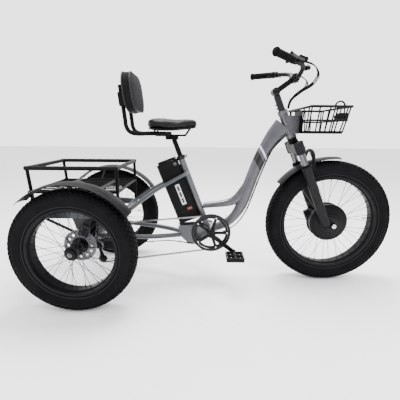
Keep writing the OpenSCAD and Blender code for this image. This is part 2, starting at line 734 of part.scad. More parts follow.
module pulley(at) color(black) placed() translate([at.x, chain_y, at.y])
    y_race(3 + fit, tip_r(pulley_teeth), -1.5, 1.5);

module guide_pulley() pulley(guide_at);
module tension_pulley() pulley(tension_at);

module crank_arm() {
    y_cylinder(17, -106, -92);
    box([0, crank_length], [-106, -94], [-11, 11]);
    translate([crank_length, 0, 0]) y_cylinder(14, -106, -94);
}

// Spindle, both arms and the pedal pins
module crankset() color(black) cranking() rotate([0, -crank_angle, 0]) {
    y_cylinder(axle_r, -100, 100);
    crank_arm();
    translate([crank_length, 0, 0]) y_cylinder(4.5, -214, -100);
    rotate([0, 180, 0]) mirror([0, 1, 0]) crank_arm();
    translate([-crank_length, 0, 0]) y_cylinder(4.5, 100, 214);
}

// Toothed ring, its five arms and the guard outside it
module chainring() color(black) cranking() {
    r = tip_r(ring_teeth);
    y_race(r - 12, r, chain_y - 1, chain_y + 1);
    y_race(95, 108, -75, -71);
    y_race(axle_r, 24, -91.5, -62);
    for (a = [0 : 72 : 288]) rotate([0, a, 0]) {
        box([22, 97], [-74, -71], [-8, 8]);
        box([72, r - 4], [-71.5, chain_y - 0.9], [-8, 8]);
    }
}

module pedal(side) color(black) cranking() {
    x = side * crank_length * cos(crank_angle);
    z = side * crank_length * sin(crank_angle);
    translate([x, 0, z]) scale_side(-side) difference() {
        union() {
            y_cylinder(10, -208, -112);
            for (z0 = [-46, 38]) box([z0, z0 + 8], [-208, -116], [-11, 11]);
            for (y0 = [-208, -166, -122]) box([-46, 46], [y0, y0 + 6], [-11, 11]);
        }
        y_cylinder(4.5 + fit, -220, -100);
    }
}

module pedal_right() pedal(1);
module pedal_left() pedal(-1);

// Calipers that straddle the two rear rotors, on brackets from the axle tubes
module rear_calipers() color(black) at_rear_axle() both_sides() {
    difference() {
        rotate([0, -70, 0]) box([56, 98], [half_track - 82, half_track - 58], [-22, 22]);
        y_cylinder(rotor_r + 3, half_track - 71.5, half_track - 66.5);
        y_cylinder(57, half_track - 71.5, half_track - 40);
    }
    difference() {
        rotate([0, -70, 0]) box([20, 80], [226, half_track - 81], [-12, 12]);
        y_cylinder(24, 200, 300);
    }
}

// ---- Saddle and backrest ----

post_top = 95;                                  // the post's head above the seat tube
pad_lean = 6;
pad_at = [198.7, 0, 925];                       // where the backrest tubes pass the pad's lower edge

function up_tube(d) = [pad_at.x - d * sin(pad_lean), -72, pad_at.z + d * cos(pad_lean)];

// Post, its head, the saddle rails and the two bent tubes that carry the backrest
module seat_post() color(black) {
    seating() translate([0, 0, seat_tube_length - 190]) cylinder(r = post_r, h = 190 + post_top);
    placed() {
        box([398, 462], [-26, 26], [796, 816]);
        both_sides() {
            rod([346, -24, 818], [503, -24, 818], 5);
            rod([498, -24, 815], [528, -24, 857], 4.7);
            rod([350, -22, 817], [345, -60, 847], 4.7);
        }
        both_sides() swept(curve([[420, -72, 826], [330, -72, 828], [262, -72, 826], [222, -72, 836],
                                  up_tube(-62), up_tube(-30), up_tube(50), up_tube(134)], 3), 22, 22, 12);
        box([402, 424], [-77, 77], [809, 823]);
    }
}

// The outline of the saddle from above, the right half first
function saddle_side() = [[314, 60], [322, 96], [350, 0.5 * saddle_w - 4], [378, 0.5 * saddle_w], [404, 112],
                          [432, 84], [462, 56], [500, 38], [535, 30], [552, 20]];

module saddle() color(black) placed() intersection() {
    translate([0, 0, 840]) linear_extrude(66)
        polygon(concat([for (p = saddle_side()) [p.x, -p.y]],
                       [for (i = [9 : -1 : 0]) [saddle_side()[i].x, saddle_side()[i].y]]));
    plate([[310, 862], [330, 844], [400, 843.5], [480, 846], [556, 862], [560, 882], [540, 896], [440, 897],
           [380, 905], [330, 904], [312, 892]], -150, 150);
}

// x points forwards from the tubes, z up along them from the pad's lower edge
module at_pad() placed() translate(pad_at) rotate([0, -pad_lean, 0]) children();

module backrest_pad() color(black) at_pad() {
    hw = backrest_w / 2;
    r = 60;
    translate([18, 0, 0]) rotate([90, 0, 90]) linear_extrude(58) union() {
        translate([-hw + r, 0]) square([2 * (hw - r), 195]);
        translate([-hw, r]) square([2 * hw, 195 - 2 * r]);
        for (y = [-1, 1]) for (z = [r, 195 - r]) translate([y * (hw - r), z]) circle(r = r);
    }
}

// A steel plate on the pad's back with two sleeves that slide on the tubes, and the knob's boss
module backrest_bracket() color(black) at_pad() difference() {
    union() {
        box([14, 18], [-96, 96], [24, 150]);
        both_sides() box([-15, 15], [-88, -56], [36, 100]);
        box([-15, 15], [-56, 56], [40, 64]);
    }
    both_sides() translate([0, -72, -60]) cylinder(r = 11 + fit, h = 300);
    translate([-20, 0, 52]) rotate([0, 90, 0]) cylinder(r = 4 + fit, h = 24);
}

module backrest_knob() color(black) at_pad() translate([0, 0, 52]) rotate([0, -90, 0]) {
    translate([0, 0, -3]) cylinder(r = 4, h = 26);
    translate([0, 0, 15.4]) cylinder(r = 12, h = 10);
    for (a = [0 : 60 : 300]) rotate([0, 0, a]) translate([12, 0, 15.4]) cylinder(r = 5, h = 10, $fn = 24);
}

// ---- Cables ----

// From the head tube along the underside of the main tube to the rear
rear_cable = [[1002, -26, 800], [960, -27, 742], [925, -27, 660], [893, -27, 570], [866, -27, 486],
              [838, -27, 410], [790, -27, 338], [720, -27, 292], [640, -34, 262], [560, -35, 218],
              [470, -42, 232], [400, -88, 256], [300, -122, 262], [180, -130, 270], [60, -130, 286]];

module frame_cables() color(black) placed() {
    swept(curve(rear_cable, 3), 5, 5, 8, [0, 1, 0.3]);
}

// Loops forwards from the levers, gathered into a bundle that drops in front of the stem
loop_right = [[-37, -171, 46], [-11, -144, 50], [52, -118, 38], [88, -84, 4], [76, -46, -34], [34, -16, -64],
              [-10, -4, -104], [-22, 0, -146]];
loop_left = [[-37, 171, 46], [-11, 144, 50], [60, 118, 34], [92, 80, 0], [74, 44, -38], [30, 18, -68],
             [-8, 6, -106], [-18, 6, -146]];

module bar_cables() color(black) at_bar() {
    swept(curve(loop_right, 4), 6, 6, 8, [0.2, 1, 0.1]);
    swept(curve(loop_left, 4), 6, 6, 8, [0.2, 1, -0.1]);
}

head_tube();
main_tube();
seat_tube();
bottom_bracket();
chain_stays();
seat_stays();
rear_subframe();
bearings();
seat_clamp();
rear_basket();
fender_left();
fender_right();
front_basket();
headlight();
battery_dock();
derailleur_body();
chain();
rear_calipers();
frame_cables();
battery_case();
battery_handle();
fork_crown();
stanchions();
stem_quill();
stem_arm();
handlebar();
grips();
bar_controls();
bar_cables();
brake_lever_right();
brake_lever_left();
thumb_throttle();
shift_lever();
fork_lowers();
front_fender();
front_tyre();
front_rim();
front_spokes();
hub_motor();
tyre_left();
rim_left();
spokes_left();
hub_left();
tyre_right();
rim_right();
spokes_right();
hub_right();
crankset();
chainring();
pedal_right();
pedal_left();
cassette();
derailleur_cage();
guide_pulley();
tension_pulley();
seat_post();
saddle();
backrest_pad();
backrest_bracket();
backrest_knob();
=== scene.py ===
"""Looks of the electric cargo tricycle: pieces, materials, floor, light and camera."""

import math

import bpy
from mathutils import Matrix, Vector
from mathutils.bvhtree import BVHTree


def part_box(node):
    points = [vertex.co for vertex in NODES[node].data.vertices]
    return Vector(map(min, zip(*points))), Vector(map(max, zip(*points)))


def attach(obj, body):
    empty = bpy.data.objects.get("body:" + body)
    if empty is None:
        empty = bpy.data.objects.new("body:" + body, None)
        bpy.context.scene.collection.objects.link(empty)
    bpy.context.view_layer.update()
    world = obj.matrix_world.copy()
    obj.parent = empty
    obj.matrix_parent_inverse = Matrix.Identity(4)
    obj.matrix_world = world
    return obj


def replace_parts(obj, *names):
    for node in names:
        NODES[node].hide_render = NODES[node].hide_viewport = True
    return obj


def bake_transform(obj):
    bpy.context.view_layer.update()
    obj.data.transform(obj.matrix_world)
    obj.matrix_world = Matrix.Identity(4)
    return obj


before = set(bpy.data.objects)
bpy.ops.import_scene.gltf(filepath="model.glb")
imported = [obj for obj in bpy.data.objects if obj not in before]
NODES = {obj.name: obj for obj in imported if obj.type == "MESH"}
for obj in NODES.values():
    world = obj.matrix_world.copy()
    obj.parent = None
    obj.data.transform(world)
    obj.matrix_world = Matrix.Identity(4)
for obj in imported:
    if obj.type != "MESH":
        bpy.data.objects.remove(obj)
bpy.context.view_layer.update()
TAU = 2 * math.pi


# ---- Places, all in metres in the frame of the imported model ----

def middle(node):
    low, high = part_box(node)
    return (low + high) / 2


FRONT_AXLE = middle("front_tyre")
RIGHT_AXLE = middle("tyre_right")
LEFT_AXLE = middle("tyre_left")
CRANK = middle("bottom_bracket")
REAR = Vector((RIGHT_AXLE.x, 0, 0))
FRONT_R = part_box("front_tyre")[1].z - FRONT_AXLE.z
REAR_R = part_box("tyre_right")[1].z - RIGHT_AXLE.z

HEAD_TILT = math.radians(23.7)
SEAT_TILT = math.radians(20.8)
PAD_LEAN = math.radians(6)
FORK_LENGTH = 0.529
FORK_OFFSET = 0.03
LEG_Y = 0.077
STEM_PIVOT = 0.242
CHAIN_Y = -0.065
PITCH = 0.0127


def at(place):
    return Matrix.Translation(place)


def swing(degrees, axis):
    return Matrix.Rotation(math.radians(degrees), 4, axis)


def circle(count, start=0.0):
    """Cosine and sine of angles evenly round a circle."""
    return [(math.cos(start + TAU * k / count), math.sin(start + TAU * k / count)) for k in range(count)]


def mm(x, y, z):
    """A place in millimetres, measured from the floor under the rear axle."""
    return REAR + Vector((x, y, z)) / 1000


def lean_frame(origin, lean):
    """Axes at origin, turned so that z leans back by an angle."""
    return at(origin) @ Matrix.Rotation(-lean, 4, "Y")


HEAD_UP = Vector((-math.sin(HEAD_TILT), 0, math.cos(HEAD_TILT)))
HEAD_FORWARD = Vector((math.cos(HEAD_TILT), 0, math.sin(HEAD_TILT)))
CUP = FRONT_AXLE - HEAD_FORWARD * FORK_OFFSET + HEAD_UP * FORK_LENGTH
CUP.y = 0
STEERING = lean_frame(CUP, HEAD_TILT)
BAR_CLAMP = CUP + HEAD_UP * STEM_PIVOT + Vector((0.092, 0, 0.065))
BAR = at(BAR_CLAMP)
SEATING = lean_frame(mm(630, 0, CRANK.z * 1000), SEAT_TILT)
PAD = lean_frame(mm(198.7, 0, 925), PAD_LEAN)
GRIP_START = (-0.048, -0.16, 0.046)
MIRROR_Y = Matrix.Diagonal((1, -1, 1, 1))
RIGHT_GRIP = BAR @ at(GRIP_START) @ swing(-135, "Z") @ swing(-3, "Y")
LEFT_GRIP = BAR @ MIRROR_Y @ at(GRIP_START) @ swing(-135, "Z") @ swing(-3, "Y")


# ---- Shapes ----

class Shape:
    """Points and faces of one piece while it is built."""

    def __init__(self):
        self.points = []
        self.faces = []

    def add(self, points, faces, place=None):
        start = len(self.points)
        self.points += [place @ Vector(p) if place else Vector(p) for p in points]
        self.faces += [[i + start for i in face] for face in faces]

    def loft(self, loops, place=None, wrap=False, caps=True):
        """Skin over loops of equal length. wrap joins the last loop to the first."""
        count = len(loops[0])
        pairs = len(loops) if wrap else len(loops) - 1
        faces = []
        for i in range(pairs):
            a = i * count
            b = (i + 1) % len(loops) * count
            faces += [[a + k, a + (k + 1) % count, b + (k + 1) % count, b + k] for k in range(count)]
        if caps and not wrap:
            faces.append(list(range(count))[::-1])
            faces.append([(len(loops) - 1) * count + k for k in range(count)])
        self.add([p for loop in loops for p in loop], faces, place)

    def tube(self, path, radius, sides=10, place=None, wrap=False):
        """A round tube along points, with its section carried along without twist."""
        path = [Vector(p) for p in path]
        loops = []
        side = None
        for i, p in enumerate(path):
            before = path[i - 1] if i or wrap else p
            after = path[(i + 1) % len(path)] if i < len(path) - 1 or wrap else p
            along = (after - before).normalized()
            if side is None:
                side = along.orthogonal().normalized()
            side = (side - along * side.dot(along)).normalized()
            up = along.cross(side)
            r = radius[i] if isinstance(radius, list) else radius
            loops.append([p + (side * c + up * s) * r for c, s in circle(sides)])
        self.loft(loops, place, wrap)

    def turned(self, profile, place, steps=48, closed=True):
        """A profile of (radius, height) turned about z."""
        self.loft([[(r * c, r * s, h) for c, s in circle(steps)] for r, h in profile], place, wrap=closed)

    def block(self, size, place, edge=0.0008):
        """A box with chamfered edges, centred on its place."""
        x, y, z = (s / 2 for s in size)
        loops = []
        for height, inset in ((-z, edge), (-z + edge, 0), (z - edge, 0), (z, edge)):
            a, b = x - inset, y - inset
            half = [(a, -b + edge), (a, b - edge), (a - edge, b), (-a + edge, b)]
            loops.append([(sign * u, sign * v, height) for sign in (1, -1) for u, v in half])
        self.loft(loops, place)

    def bolt(self, point, direction, radius=0.005, height=0.004):
        """A domed cap screw with a hexagon socket."""
        profile = [(1, -0.001), (1, height * 0.6), (0.86, height), (0.55, height), (0.5, height * 0.35)]
        loops = []
        for i, (share, h) in enumerate(profile):
            sizes = [radius * share * (1.0 if i < 3 or k % 2 == 0 else 0.9) for k in range(12)]
            loops.append([(r * c, r * s, h) for r, (c, s) in zip(sizes, circle(12))])
        self.loft(loops, facing(point, direction))

    def nut(self, point, direction, radius=0.01, height=0.009):
        """A hexagon nut with a chamfered top and a rounded stud end."""
        place = facing(point, direction)
        sizes = [(radius, -0.001), (radius, height * 0.85), (radius * 0.87, height)]
        self.loft([[(r * c, r * s, h) for c, s in circle(6)] for r, h in sizes], place)
        stud = radius * 0.5
        self.turned([(stud, 0), (stud, height * 1.25), (stud * 0.7, height * 1.45), (0.0004, height * 1.5)],
                    place, 16, closed=False)

    def made(self, name, finish, body, slot, sharp=35, moves=True):
        """The finished object, smooth but for edges sharper than an angle, riding on a body."""
        mesh = bpy.data.meshes.new(name)
        mesh.from_pydata([tuple(p) for p in self.points], [], self.faces)
        mesh.validate()
        mesh.update()
        mesh.materials.append(M[finish])
        mesh.shade_smooth()
        mesh.set_sharp_from_angle(angle=math.radians(sharp))
        obj = bpy.data.objects.new(name, mesh)
        bpy.context.scene.collection.objects.link(obj)
        if moves:
            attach(obj, body)
        return obj


def facing(point, direction):
    """Axes at a point whose z looks along a direction."""
    return at(point) @ Vector(direction).to_track_quat("Z", "Y").to_matrix().to_4x4()


def curve(points, steps):
    """A smooth curve through points."""
    points = [Vector(p) for p in points]
    found = []
    for i in range(len(points) - 1):
        a, b = points[max(i - 1, 0)], points[i]
        c, d = points[i + 1], points[min(i + 2, len(points) - 1)]
        for k in range(steps):
            s = k / steps
            found.append(0.5 * (2 * b + (c - a) * s + (2 * a - 5 * b + 4 * c - d) * s * s
                                + (3 * b - a - 3 * c + d) * s ** 3))
    return found + [points[-1]]


# ---- Materials ----

def linear(value):
    """A screen value from 0 to 255 as linear light."""
    v = value / 255
    return v / 12.92 if v <= 0.04045 else ((v + 0.055) / 1.055) ** 2.4


def rgb(r, g, b):
    return (linear(r), linear(g), linear(b), 1)


class Finish:
    """A node material in object space, built step by step."""

    def __init__(self, name, colour, roughness, metallic=0.0, coat=0.0, specular=0.5):
        self.material = bpy.data.materials.new(name)
        self.material.use_nodes = True
        self.tree = self.material.node_tree
        self.shader = self.tree.nodes["Principled BSDF"]
        for key, value in (("Metallic", metallic), ("Roughness", roughness), ("Specular IOR Level", specular),
                           ("Coat Weight", coat), ("Coat Roughness", 0.12)):
            self.shader.inputs[key].default_value = value
        self.roughness = roughness
        self.place = self.node("ShaderNodeTexCoord").outputs["Object"]
        self.colour = self.mottled(colour)
        self.height = None

    def node(self, kind, sockets=(), **values):
        """A new node, with values on its sockets by name and on the node itself."""
        node = self.tree.nodes.new(kind)
        for key, value in values.items():
            setattr(node, key, value)
        for key, value in dict(sockets).items():
            node.inputs[key].default_value = value
        return node

    def join(self, source, target):
        self.tree.links.new(source, target)

    def texture(self, kind, sockets, **values):
        node = self.node(kind, sockets, **values)
        self.join(self.place, node.inputs["Vector"])
        return node

    def noise(self, scale, detail=4.0):
        return self.texture("ShaderNodeTexNoise", {"Scale": scale, "Detail": detail}).outputs["Fac"]

    def ramp(self, value, low, high, start, stop):
        node = self.node("ShaderNodeValToRGB")
        for element, position, colour in zip(node.color_ramp.elements, (start, stop), (low, high)):
            element.position = position
            element.color = colour
        self.join(value, node.inputs["Fac"])
        return node.outputs["Color"]

    def mottled(self, colour):
        """Soft uneven colour, so that no surface is a flat tone."""
        dark = tuple(c * 0.82 for c in colour[:3]) + (1,)
        light = tuple(min(c * 1.16, 1) for c in colour[:3]) + (1,)
        return self.ramp(self.noise(14, 5), dark, light, 0.32, 0.7)

    def math(self, operation, a, b=None):
        node = self.node("ShaderNodeMath", operation=operation)
        for socket, value in zip(node.inputs, (a, b)):
            if value is None:
                continue
            if isinstance(value, (int, float)):
                socket.default_value = value
            else:
                self.join(value, socket)
        return node.outputs[0]

    def mix(self, fac, a, b):
        node = self.node("ShaderNodeMix", data_type="RGBA")
        self.join(fac, node.inputs["Factor"])
        for value, socket in ((a, node.inputs["A"]), (b, node.inputs["B"])):
            if isinstance(value, tuple):
                socket.default_value = value
            else:
                self.join(value, socket)
        return node.outputs["Result"]

    def paint_where(self, mask, colour):
        self.colour = self.mix(mask, self.colour, colour)
        return self

    def dust(self, colour, amount=0.5, scale=9):
        """Thin dust in soft patches."""
        mask = self.ramp(self.noise(scale, 8), (0, 0, 0, 1), (amount, amount, amount, 1), 0.48, 0.75)
        return self.paint_where(mask, colour)

    def worn(self, colour, amount=0.35):
        """Edges rubbed to a lighter tone."""
        edge = self.node("ShaderNodeNewGeometry").outputs["Pointiness"]
        mask = self.ramp(edge, (0, 0, 0, 1), (amount, amount, amount, 1), 0.52, 0.62)
        return self.paint_where(self.math("MULTIPLY", mask, self.noise(60, 6)), colour)

    def uneven(self, spread=0.12, scale=30):
        """Roughness that wanders about its middle value."""
        node = self.node("ShaderNodeMapRange", {"To Min": max(self.roughness - spread, 0.03),
                                                "To Max": min(self.roughness + spread, 1)})
        self.join(self.noise(scale, 6), node.inputs["Value"])
        self.join(node.outputs["Result"], self.shader.inputs["Roughness"])
        return self

    def bump(self, height, distance):
        """Adds a height field on top of the ones so far."""
        node = self.node("ShaderNodeBump", {"Distance": distance, "Strength": 1.0})
        self.join(height, node.inputs["Height"])
        if self.height:
            self.join(self.height, node.inputs["Normal"])
        self.height = node.outputs["Normal"]
        return self

    def grain(self, scale, distance):
        return self.bump(self.noise(scale, 3), distance)

    def pebbles(self, scale, distance):
        """Rounded cells, as in leather or moulded grain."""
        return self.bump(self.texture("ShaderNodeTexVoronoi", {"Scale": scale}).outputs["Distance"], distance)

    def flakes(self, scale=1400, share=0.25):
        """Small bright flakes in metallic paint."""
        node = self.texture("ShaderNodeTexVoronoi", {"Scale": scale})
        mask = self.ramp(node.outputs["Color"], (0, 0, 0, 1), (share, share, share, 1), 0.55, 0.95)
        return self.paint_where(mask, (0.5, 0.5, 0.53, 1))

    def weave(self, pitch, distance, directions=("Y", "Z")):
        """Threads that pass over and under each other."""
        waves = []
        for direction in directions:
            sockets = {"Scale": 1 / (pitch * 20 / TAU * 2), "Distortion": 0.6, "Detail": 2}
            wave = self.texture("ShaderNodeTexWave", sockets, bands_direction=direction)
            waves.append(wave.outputs["Fac"])
        threads = self.math("MULTIPLY", waves[0], waves[1])
        self.colour = self.mix(self.math("MULTIPLY", threads, 0.5), self.colour, (0.014, 0.014, 0.016, 1))
        return self.bump(threads, distance)

    def coordinate(self, direction, origin):
        """Distance of each point from a plane through origin, along a direction."""
        node = self.node("ShaderNodeVectorMath", operation="DOT_PRODUCT")
        node.inputs[1].default_value = direction
        self.join(self.place, node.inputs[0])
        return self.math("SUBTRACT", node.outputs["Value"], Vector(direction).dot(origin))

    def between(self, value, low, high):
        above = self.math("GREATER_THAN", value, low)
        return self.math("MULTIPLY", above, self.math("LESS_THAN", value, high))

    def radius(self, centre):
        """Distance of each point from a wheel's axle, in the plane of the wheel."""
        x = self.coordinate((1, 0, 0), centre)
        z = self.coordinate((0, 0, 1), centre)
        return self.math("SQRT", self.math("ADD", self.math("MULTIPLY", x, x), self.math("MULTIPLY", z, z)))

    def done(self):
        self.join(self.colour, self.shader.inputs["Base Color"])
        if self.height:
            self.join(self.height, self.shader.inputs["Normal"])
        return self.material


def satin_paint(name, colour):
    return (Finish(name, colour, 0.36, metallic=0.45, coat=0.3).flakes(share=0.12).uneven(0.07, 22)
            .worn((0.25, 0.25, 0.26, 1), 0.25).grain(700, 0.00012))


def black_coat(name, tone=8, roughness=0.5, specular=0.07):
    return (Finish(name, rgb(tone, tone, tone + 1), roughness, specular=specular).uneven(0.1, 35)
            .worn((0.03, 0.03, 0.032, 1), 0.4).grain(900, 0.0002))


def bright(name, colour, roughness):
    return Finish(name, colour, roughness, metallic=1.0).uneven(0.08, 60).grain(500, 0.00008)


def moulded(name, tone=9, roughness=0.5):
    return (Finish(name, rgb(tone, tone, tone + 1), roughness, specular=0.1).uneven(0.08, 40)
            .dust(rgb(30, 30, 32), 0.2).pebbles(1100, 0.00018))


def tyre_rubber(name, centre, radius, bead):
    """Black rubber, paler on the worn crown, with a painted highlight ring on the moulded ridge above the
    rim.
    """
    finish = Finish(name, rgb(8, 8, 10), 0.7, specular=0.08).uneven(0.1, 25).dust(rgb(26, 26, 28), 0.3, 12)
    from_axle = finish.radius(centre)
    crown = finish.math("GREATER_THAN", from_axle, radius - 0.004)
    finish.paint_where(finish.math("MULTIPLY", crown, 0.25), rgb(34, 34, 36))
    # Painted highlight: a paler ring on the moulded sidewall ridge, in place of the light it would catch
    finish.paint_where(finish.between(from_axle, bead + 0.0172, bead + 0.0205), rgb(36, 36, 41))
    rings = finish.math("SINE", finish.math("MULTIPLY", from_axle, TAU / 0.0026))
    return finish.grain(600, 0.0004).bump(rings, 0.00012).done()


M = {}
frame_paint = rgb(70, 71, 76)
stay_paint = rgb(52, 56, 59)
M["frame"] = satin_paint("frame_paint", frame_paint).done()
M["stays"] = satin_paint("stay_paint", stay_paint).done()
subframe = satin_paint("subframe_paint", stay_paint)
BEAM_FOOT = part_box("rear_subframe")[1] - Vector((0, 0, 0.042))
below_beams = subframe.coordinate((0, 0, 1), BEAM_FOOT)
M["subframe"] = subframe.paint_where(subframe.math("LESS_THAN", below_beams, 0.0), rgb(9, 9, 10)).done()
M["coat"] = black_coat("black_powder_coat").done()
M["anodised"] = (Finish("black_anodised", rgb(9, 9, 10), 0.34, specular=0.13).uneven(0.08, 45)
                 .worn((0.06, 0.06, 0.064, 1), 0.4).grain(800, 0.0001).done())
M["cast"] = (Finish("black_casting", rgb(8, 9, 10), 0.46, specular=0.09).uneven(0.1, 30)
             .worn((0.045, 0.045, 0.048, 1), 0.4).grain(420, 0.00035).done())
M["plastic"] = moulded("moulded_black").done()
M["gloss"] = Finish("gloss_black", rgb(9, 9, 11), 0.14, coat=0.2, specular=0.15).uneven(0.05, 30).done()
M["steel"] = bright("plated_steel", (0.55, 0.55, 0.57, 1), 0.28).done()
M["chrome"] = bright("polished_tube", (0.14, 0.14, 0.15, 1), 0.16).done()
M["dark_steel"] = bright("dark_steel", (0.1, 0.1, 0.105, 1), 0.34).done()
M["alloy"] = bright("brushed_alloy", (0.5, 0.5, 0.51, 1), 0.36).done()
M["spoke"] = bright("steel_spoke", (0.07, 0.07, 0.075, 1), 0.3).done()
M["dark_spoke"] = bright("dark_spoke", (0.02, 0.02, 0.023, 1), 0.4).done()
M["chain"] = (Finish("oiled_steel", (0.22, 0.22, 0.22, 1), 0.34, metallic=1.0).uneven(0.12, 90)
              .dust((0.05, 0.045, 0.04, 1), 0.7, 60).grain(600, 0.0001).done())
grip_rubber = Finish("grip_rubber", rgb(8, 8, 9), 0.75, specular=0.08)
M["grip"] = grip_rubber.uneven(0.08, 60).pebbles(700, 0.0004).done()
sheath = Finish("cable_sheath", rgb(8, 8, 9), 0.45, specular=0.1)
M["cable"] = sheath.uneven(0.08, 80).grain(500, 0.0001).done()
M["leather"] = (Finish("saddle_leather", rgb(10, 10, 12), 0.44, specular=0.18).uneven(0.1, 30)
                .pebbles(420, 0.0007).grain(90, 0.0004).worn((0.035, 0.035, 0.037, 1), 0.4).done())
M["fabric"] = (Finish("backrest_fabric", rgb(13, 13, 15), 0.85, specular=0.1).dust(rgb(24, 24, 27), 0.25, 25)
               .weave(0.0016, 0.0006).grain(300, 0.0003).done())
grey_piping = Finish("grey_piping", rgb(40, 40, 43), 0.6, specular=0.2)
M["piping"] = grey_piping.uneven(0.1, 60).grain(500, 0.0004).done()
M["thread"] = Finish("stitch_thread", rgb(44, 44, 47), 0.7).grain(900, 0.0003).done()
M["label"] = Finish("white_label", rgb(214, 215, 218), 0.4, coat=0.2).uneven(0.08, 40).done()
M["band"] = Finish("black_decal", rgb(20, 20, 22), 0.3, coat=0.4).uneven(0.05, 30).done()
M["red"] = Finish("red_plastic", rgb(120, 34, 30), 0.3, coat=0.2).uneven(0.05, 60).pebbles(350, 0.0006).done()
M["screen"] = Finish("dark_screen", rgb(30, 36, 38), 0.08, coat=0.8).uneven(0.03, 20).done()
M["lens"] = Finish("clear_lens", (0.86, 0.88, 0.9, 1), 0.08, coat=0.6).pebbles(260, 0.0008).done()

painted_tube = satin_paint("main_tube_paint", frame_paint)
TUBE_POINT = mm(916, 0, 720)
SLANT = Vector((0.87, 0, 0.49)).normalized()
slanted = painted_tube.coordinate(SLANT, TUBE_POINT)
painted_tube.paint_where(painted_tube.between(slanted, -0.052, -0.014), rgb(16, 16, 18))
painted_tube.paint_where(painted_tube.between(slanted, 0.002, 0.012), rgb(220, 220, 224))
M["main_tube"] = painted_tube.done()


def motor_finish():
    finish = Finish("motor_shell", rgb(8, 8, 10), 0.36, specular=0.1).uneven(0.08, 35).grain(500, 0.0002)
    from_axle = finish.radius(FRONT_AXLE)
    finish.paint_where(finish.between(from_axle, 0.0475, 0.0495), rgb(40, 40, 43))
    finish.paint_where(finish.between(from_axle, 0.062, 0.0805), rgb(15, 15, 17))
    return finish.worn((0.05, 0.05, 0.053, 1), 0.4).done()


def hub_finish(name, centre):
    finish = Finish(name, rgb(10, 10, 12), 0.36, metallic=0.2, specular=0.12)
    finish.uneven(0.08, 35).grain(500, 0.0002)
    from_axle = finish.radius(centre)
    finish.paint_where(finish.between(from_axle, 0.04, 0.085), rgb(112, 112, 116))
    return finish.worn((0.08, 0.08, 0.085, 1), 0.4).done()


def rim_finish(name, centre, bead):
    """Black rim with a slightly paler band beside the tyre."""
    finish = Finish(name, rgb(8, 8, 10), 0.4, specular=0.08).uneven(0.08, 35).grain(500, 0.00015)
    from_axle = finish.radius(centre)
    finish.paint_where(finish.between(from_axle, bead + 0.0075, bead + 0.02), rgb(15, 15, 17))
    return finish.worn((0.04, 0.04, 0.042, 1), 0.4).done()


FRONT_BEAD = 0.2535
REAR_BEAD = 0.203
M["front_tyre"] = tyre_rubber("front_rubber", FRONT_AXLE, FRONT_R, FRONT_BEAD)
M["tyre_left"] = tyre_rubber("left_rubber", LEFT_AXLE, REAR_R, REAR_BEAD)
M["tyre_right"] = tyre_rubber("right_rubber", RIGHT_AXLE, REAR_R, REAR_BEAD)
M["hub_motor"] = motor_finish()
M["hub_left"] = hub_finish("left_hub", LEFT_AXLE)
M["hub_right"] = hub_finish("right_hub", RIGHT_AXLE)
M["front_rim"] = rim_finish("front_rim_coat", FRONT_AXLE, FRONT_BEAD)
M["rim_left"] = rim_finish("left_rim_coat", LEFT_AXLE, REAR_BEAD)
M["rim_right"] = rim_finish("right_rim_coat", RIGHT_AXLE, REAR_BEAD)
LOOKS = {
    "frame": "head_tube seat_tube bottom_bracket",
    "main_tube": "main_tube",
    "stays": "chain_stays seat_stays",
    "subframe": "rear_subframe",
    "dark_steel": "bearings",
    "coat": "rear_basket front_basket fender_left fender_right front_fender seat_post backrest_bracket",
    "anodised": "seat_clamp stem_quill stem_arm handlebar brake_lever_right brake_lever_left chainring",
    "cast": "fork_crown fork_lowers rear_calipers crankset derailleur_body derailleur_cage",
    "plastic": "headlight battery_dock battery_case battery_handle thumb_throttle shift_lever "
                  "bar_controls backrest_knob pedal_right pedal_left guide_pulley tension_pulley",
    "chrome": "stanchions",
    "alloy": "cassette",
    "spoke": "front_spokes",
    "dark_spoke": "spokes_left spokes_right",
    "chain": "chain",
    "cable": "frame_cables bar_cables",
    "grip": "grips",
    "leather": "saddle",
    "fabric": "backrest_pad",
}
WHEEL_NODES = ("front_tyre tyre_left tyre_right hub_motor hub_left hub_right front_rim rim_left "
               "rim_right").split()
LOOKS.update({name: name for name in WHEEL_NODES})
for key, names in LOOKS.items():
    finish = M[key]
    for name in names.split():
        slots = NODES[name].material_slots
        if not slots:
            NODES[name].data.materials.append(finish)
        for material_slot in slots:
            material_slot.material = finish


# ---- Tyres ----

def tyre_section(radius, bead, angle, drop):
    """A point of the tyre's outer section, in radius and distance from its middle. drop lowers the crown."""
    mid = (radius + bead) / 2 - 0.0005
    height = radius - mid - drop
    s, c = math.sin(angle), math.cos(angle)
    return (mid + height * s ** 0.85, math.copysign(0.049 * abs(c) ** 0.8, c))


def wheel_place(centre):
    """Axes whose z runs along the wheel's axle."""
    return at(centre) @ swing(-90, "X")


def knob(radius, bead, row, turn, half_turn, half_row, drop, height):
    """A tread block: its foot in the casing, a chamfered top. The row is an angle across the section."""
    points = []
    for grow, lift in ((1.12, -0.0015), (1.0, height * 0.8), (0.84, height)):
        for a, b in ((-1, -1), (-1, 1), (1, 1), (1, -1)):
            angle = row + a * half_row * grow
            r, y = tyre_section(radius, bead, angle, drop)
            beyond = Vector(tyre_section(radius, bead, angle + 0.01, drop)) - Vector((r, y))
            normal = Vector((-beyond.y, beyond.x)).normalized()
            if normal.x < 0:
                normal = -normal
            r += normal.x * lift
            y += normal.y * lift
            t = turn + b * half_turn * grow
            points.append((r * math.cos(t), r * math.sin(t), y))
    faces = [[8, 9, 10, 11]]
    for base in (0, 4):
        faces += [[base + k, base + (k + 1) % 4, base + 4 + (k + 1) % 4, base + 4 + k] for k in range(4)]
    return points, faces


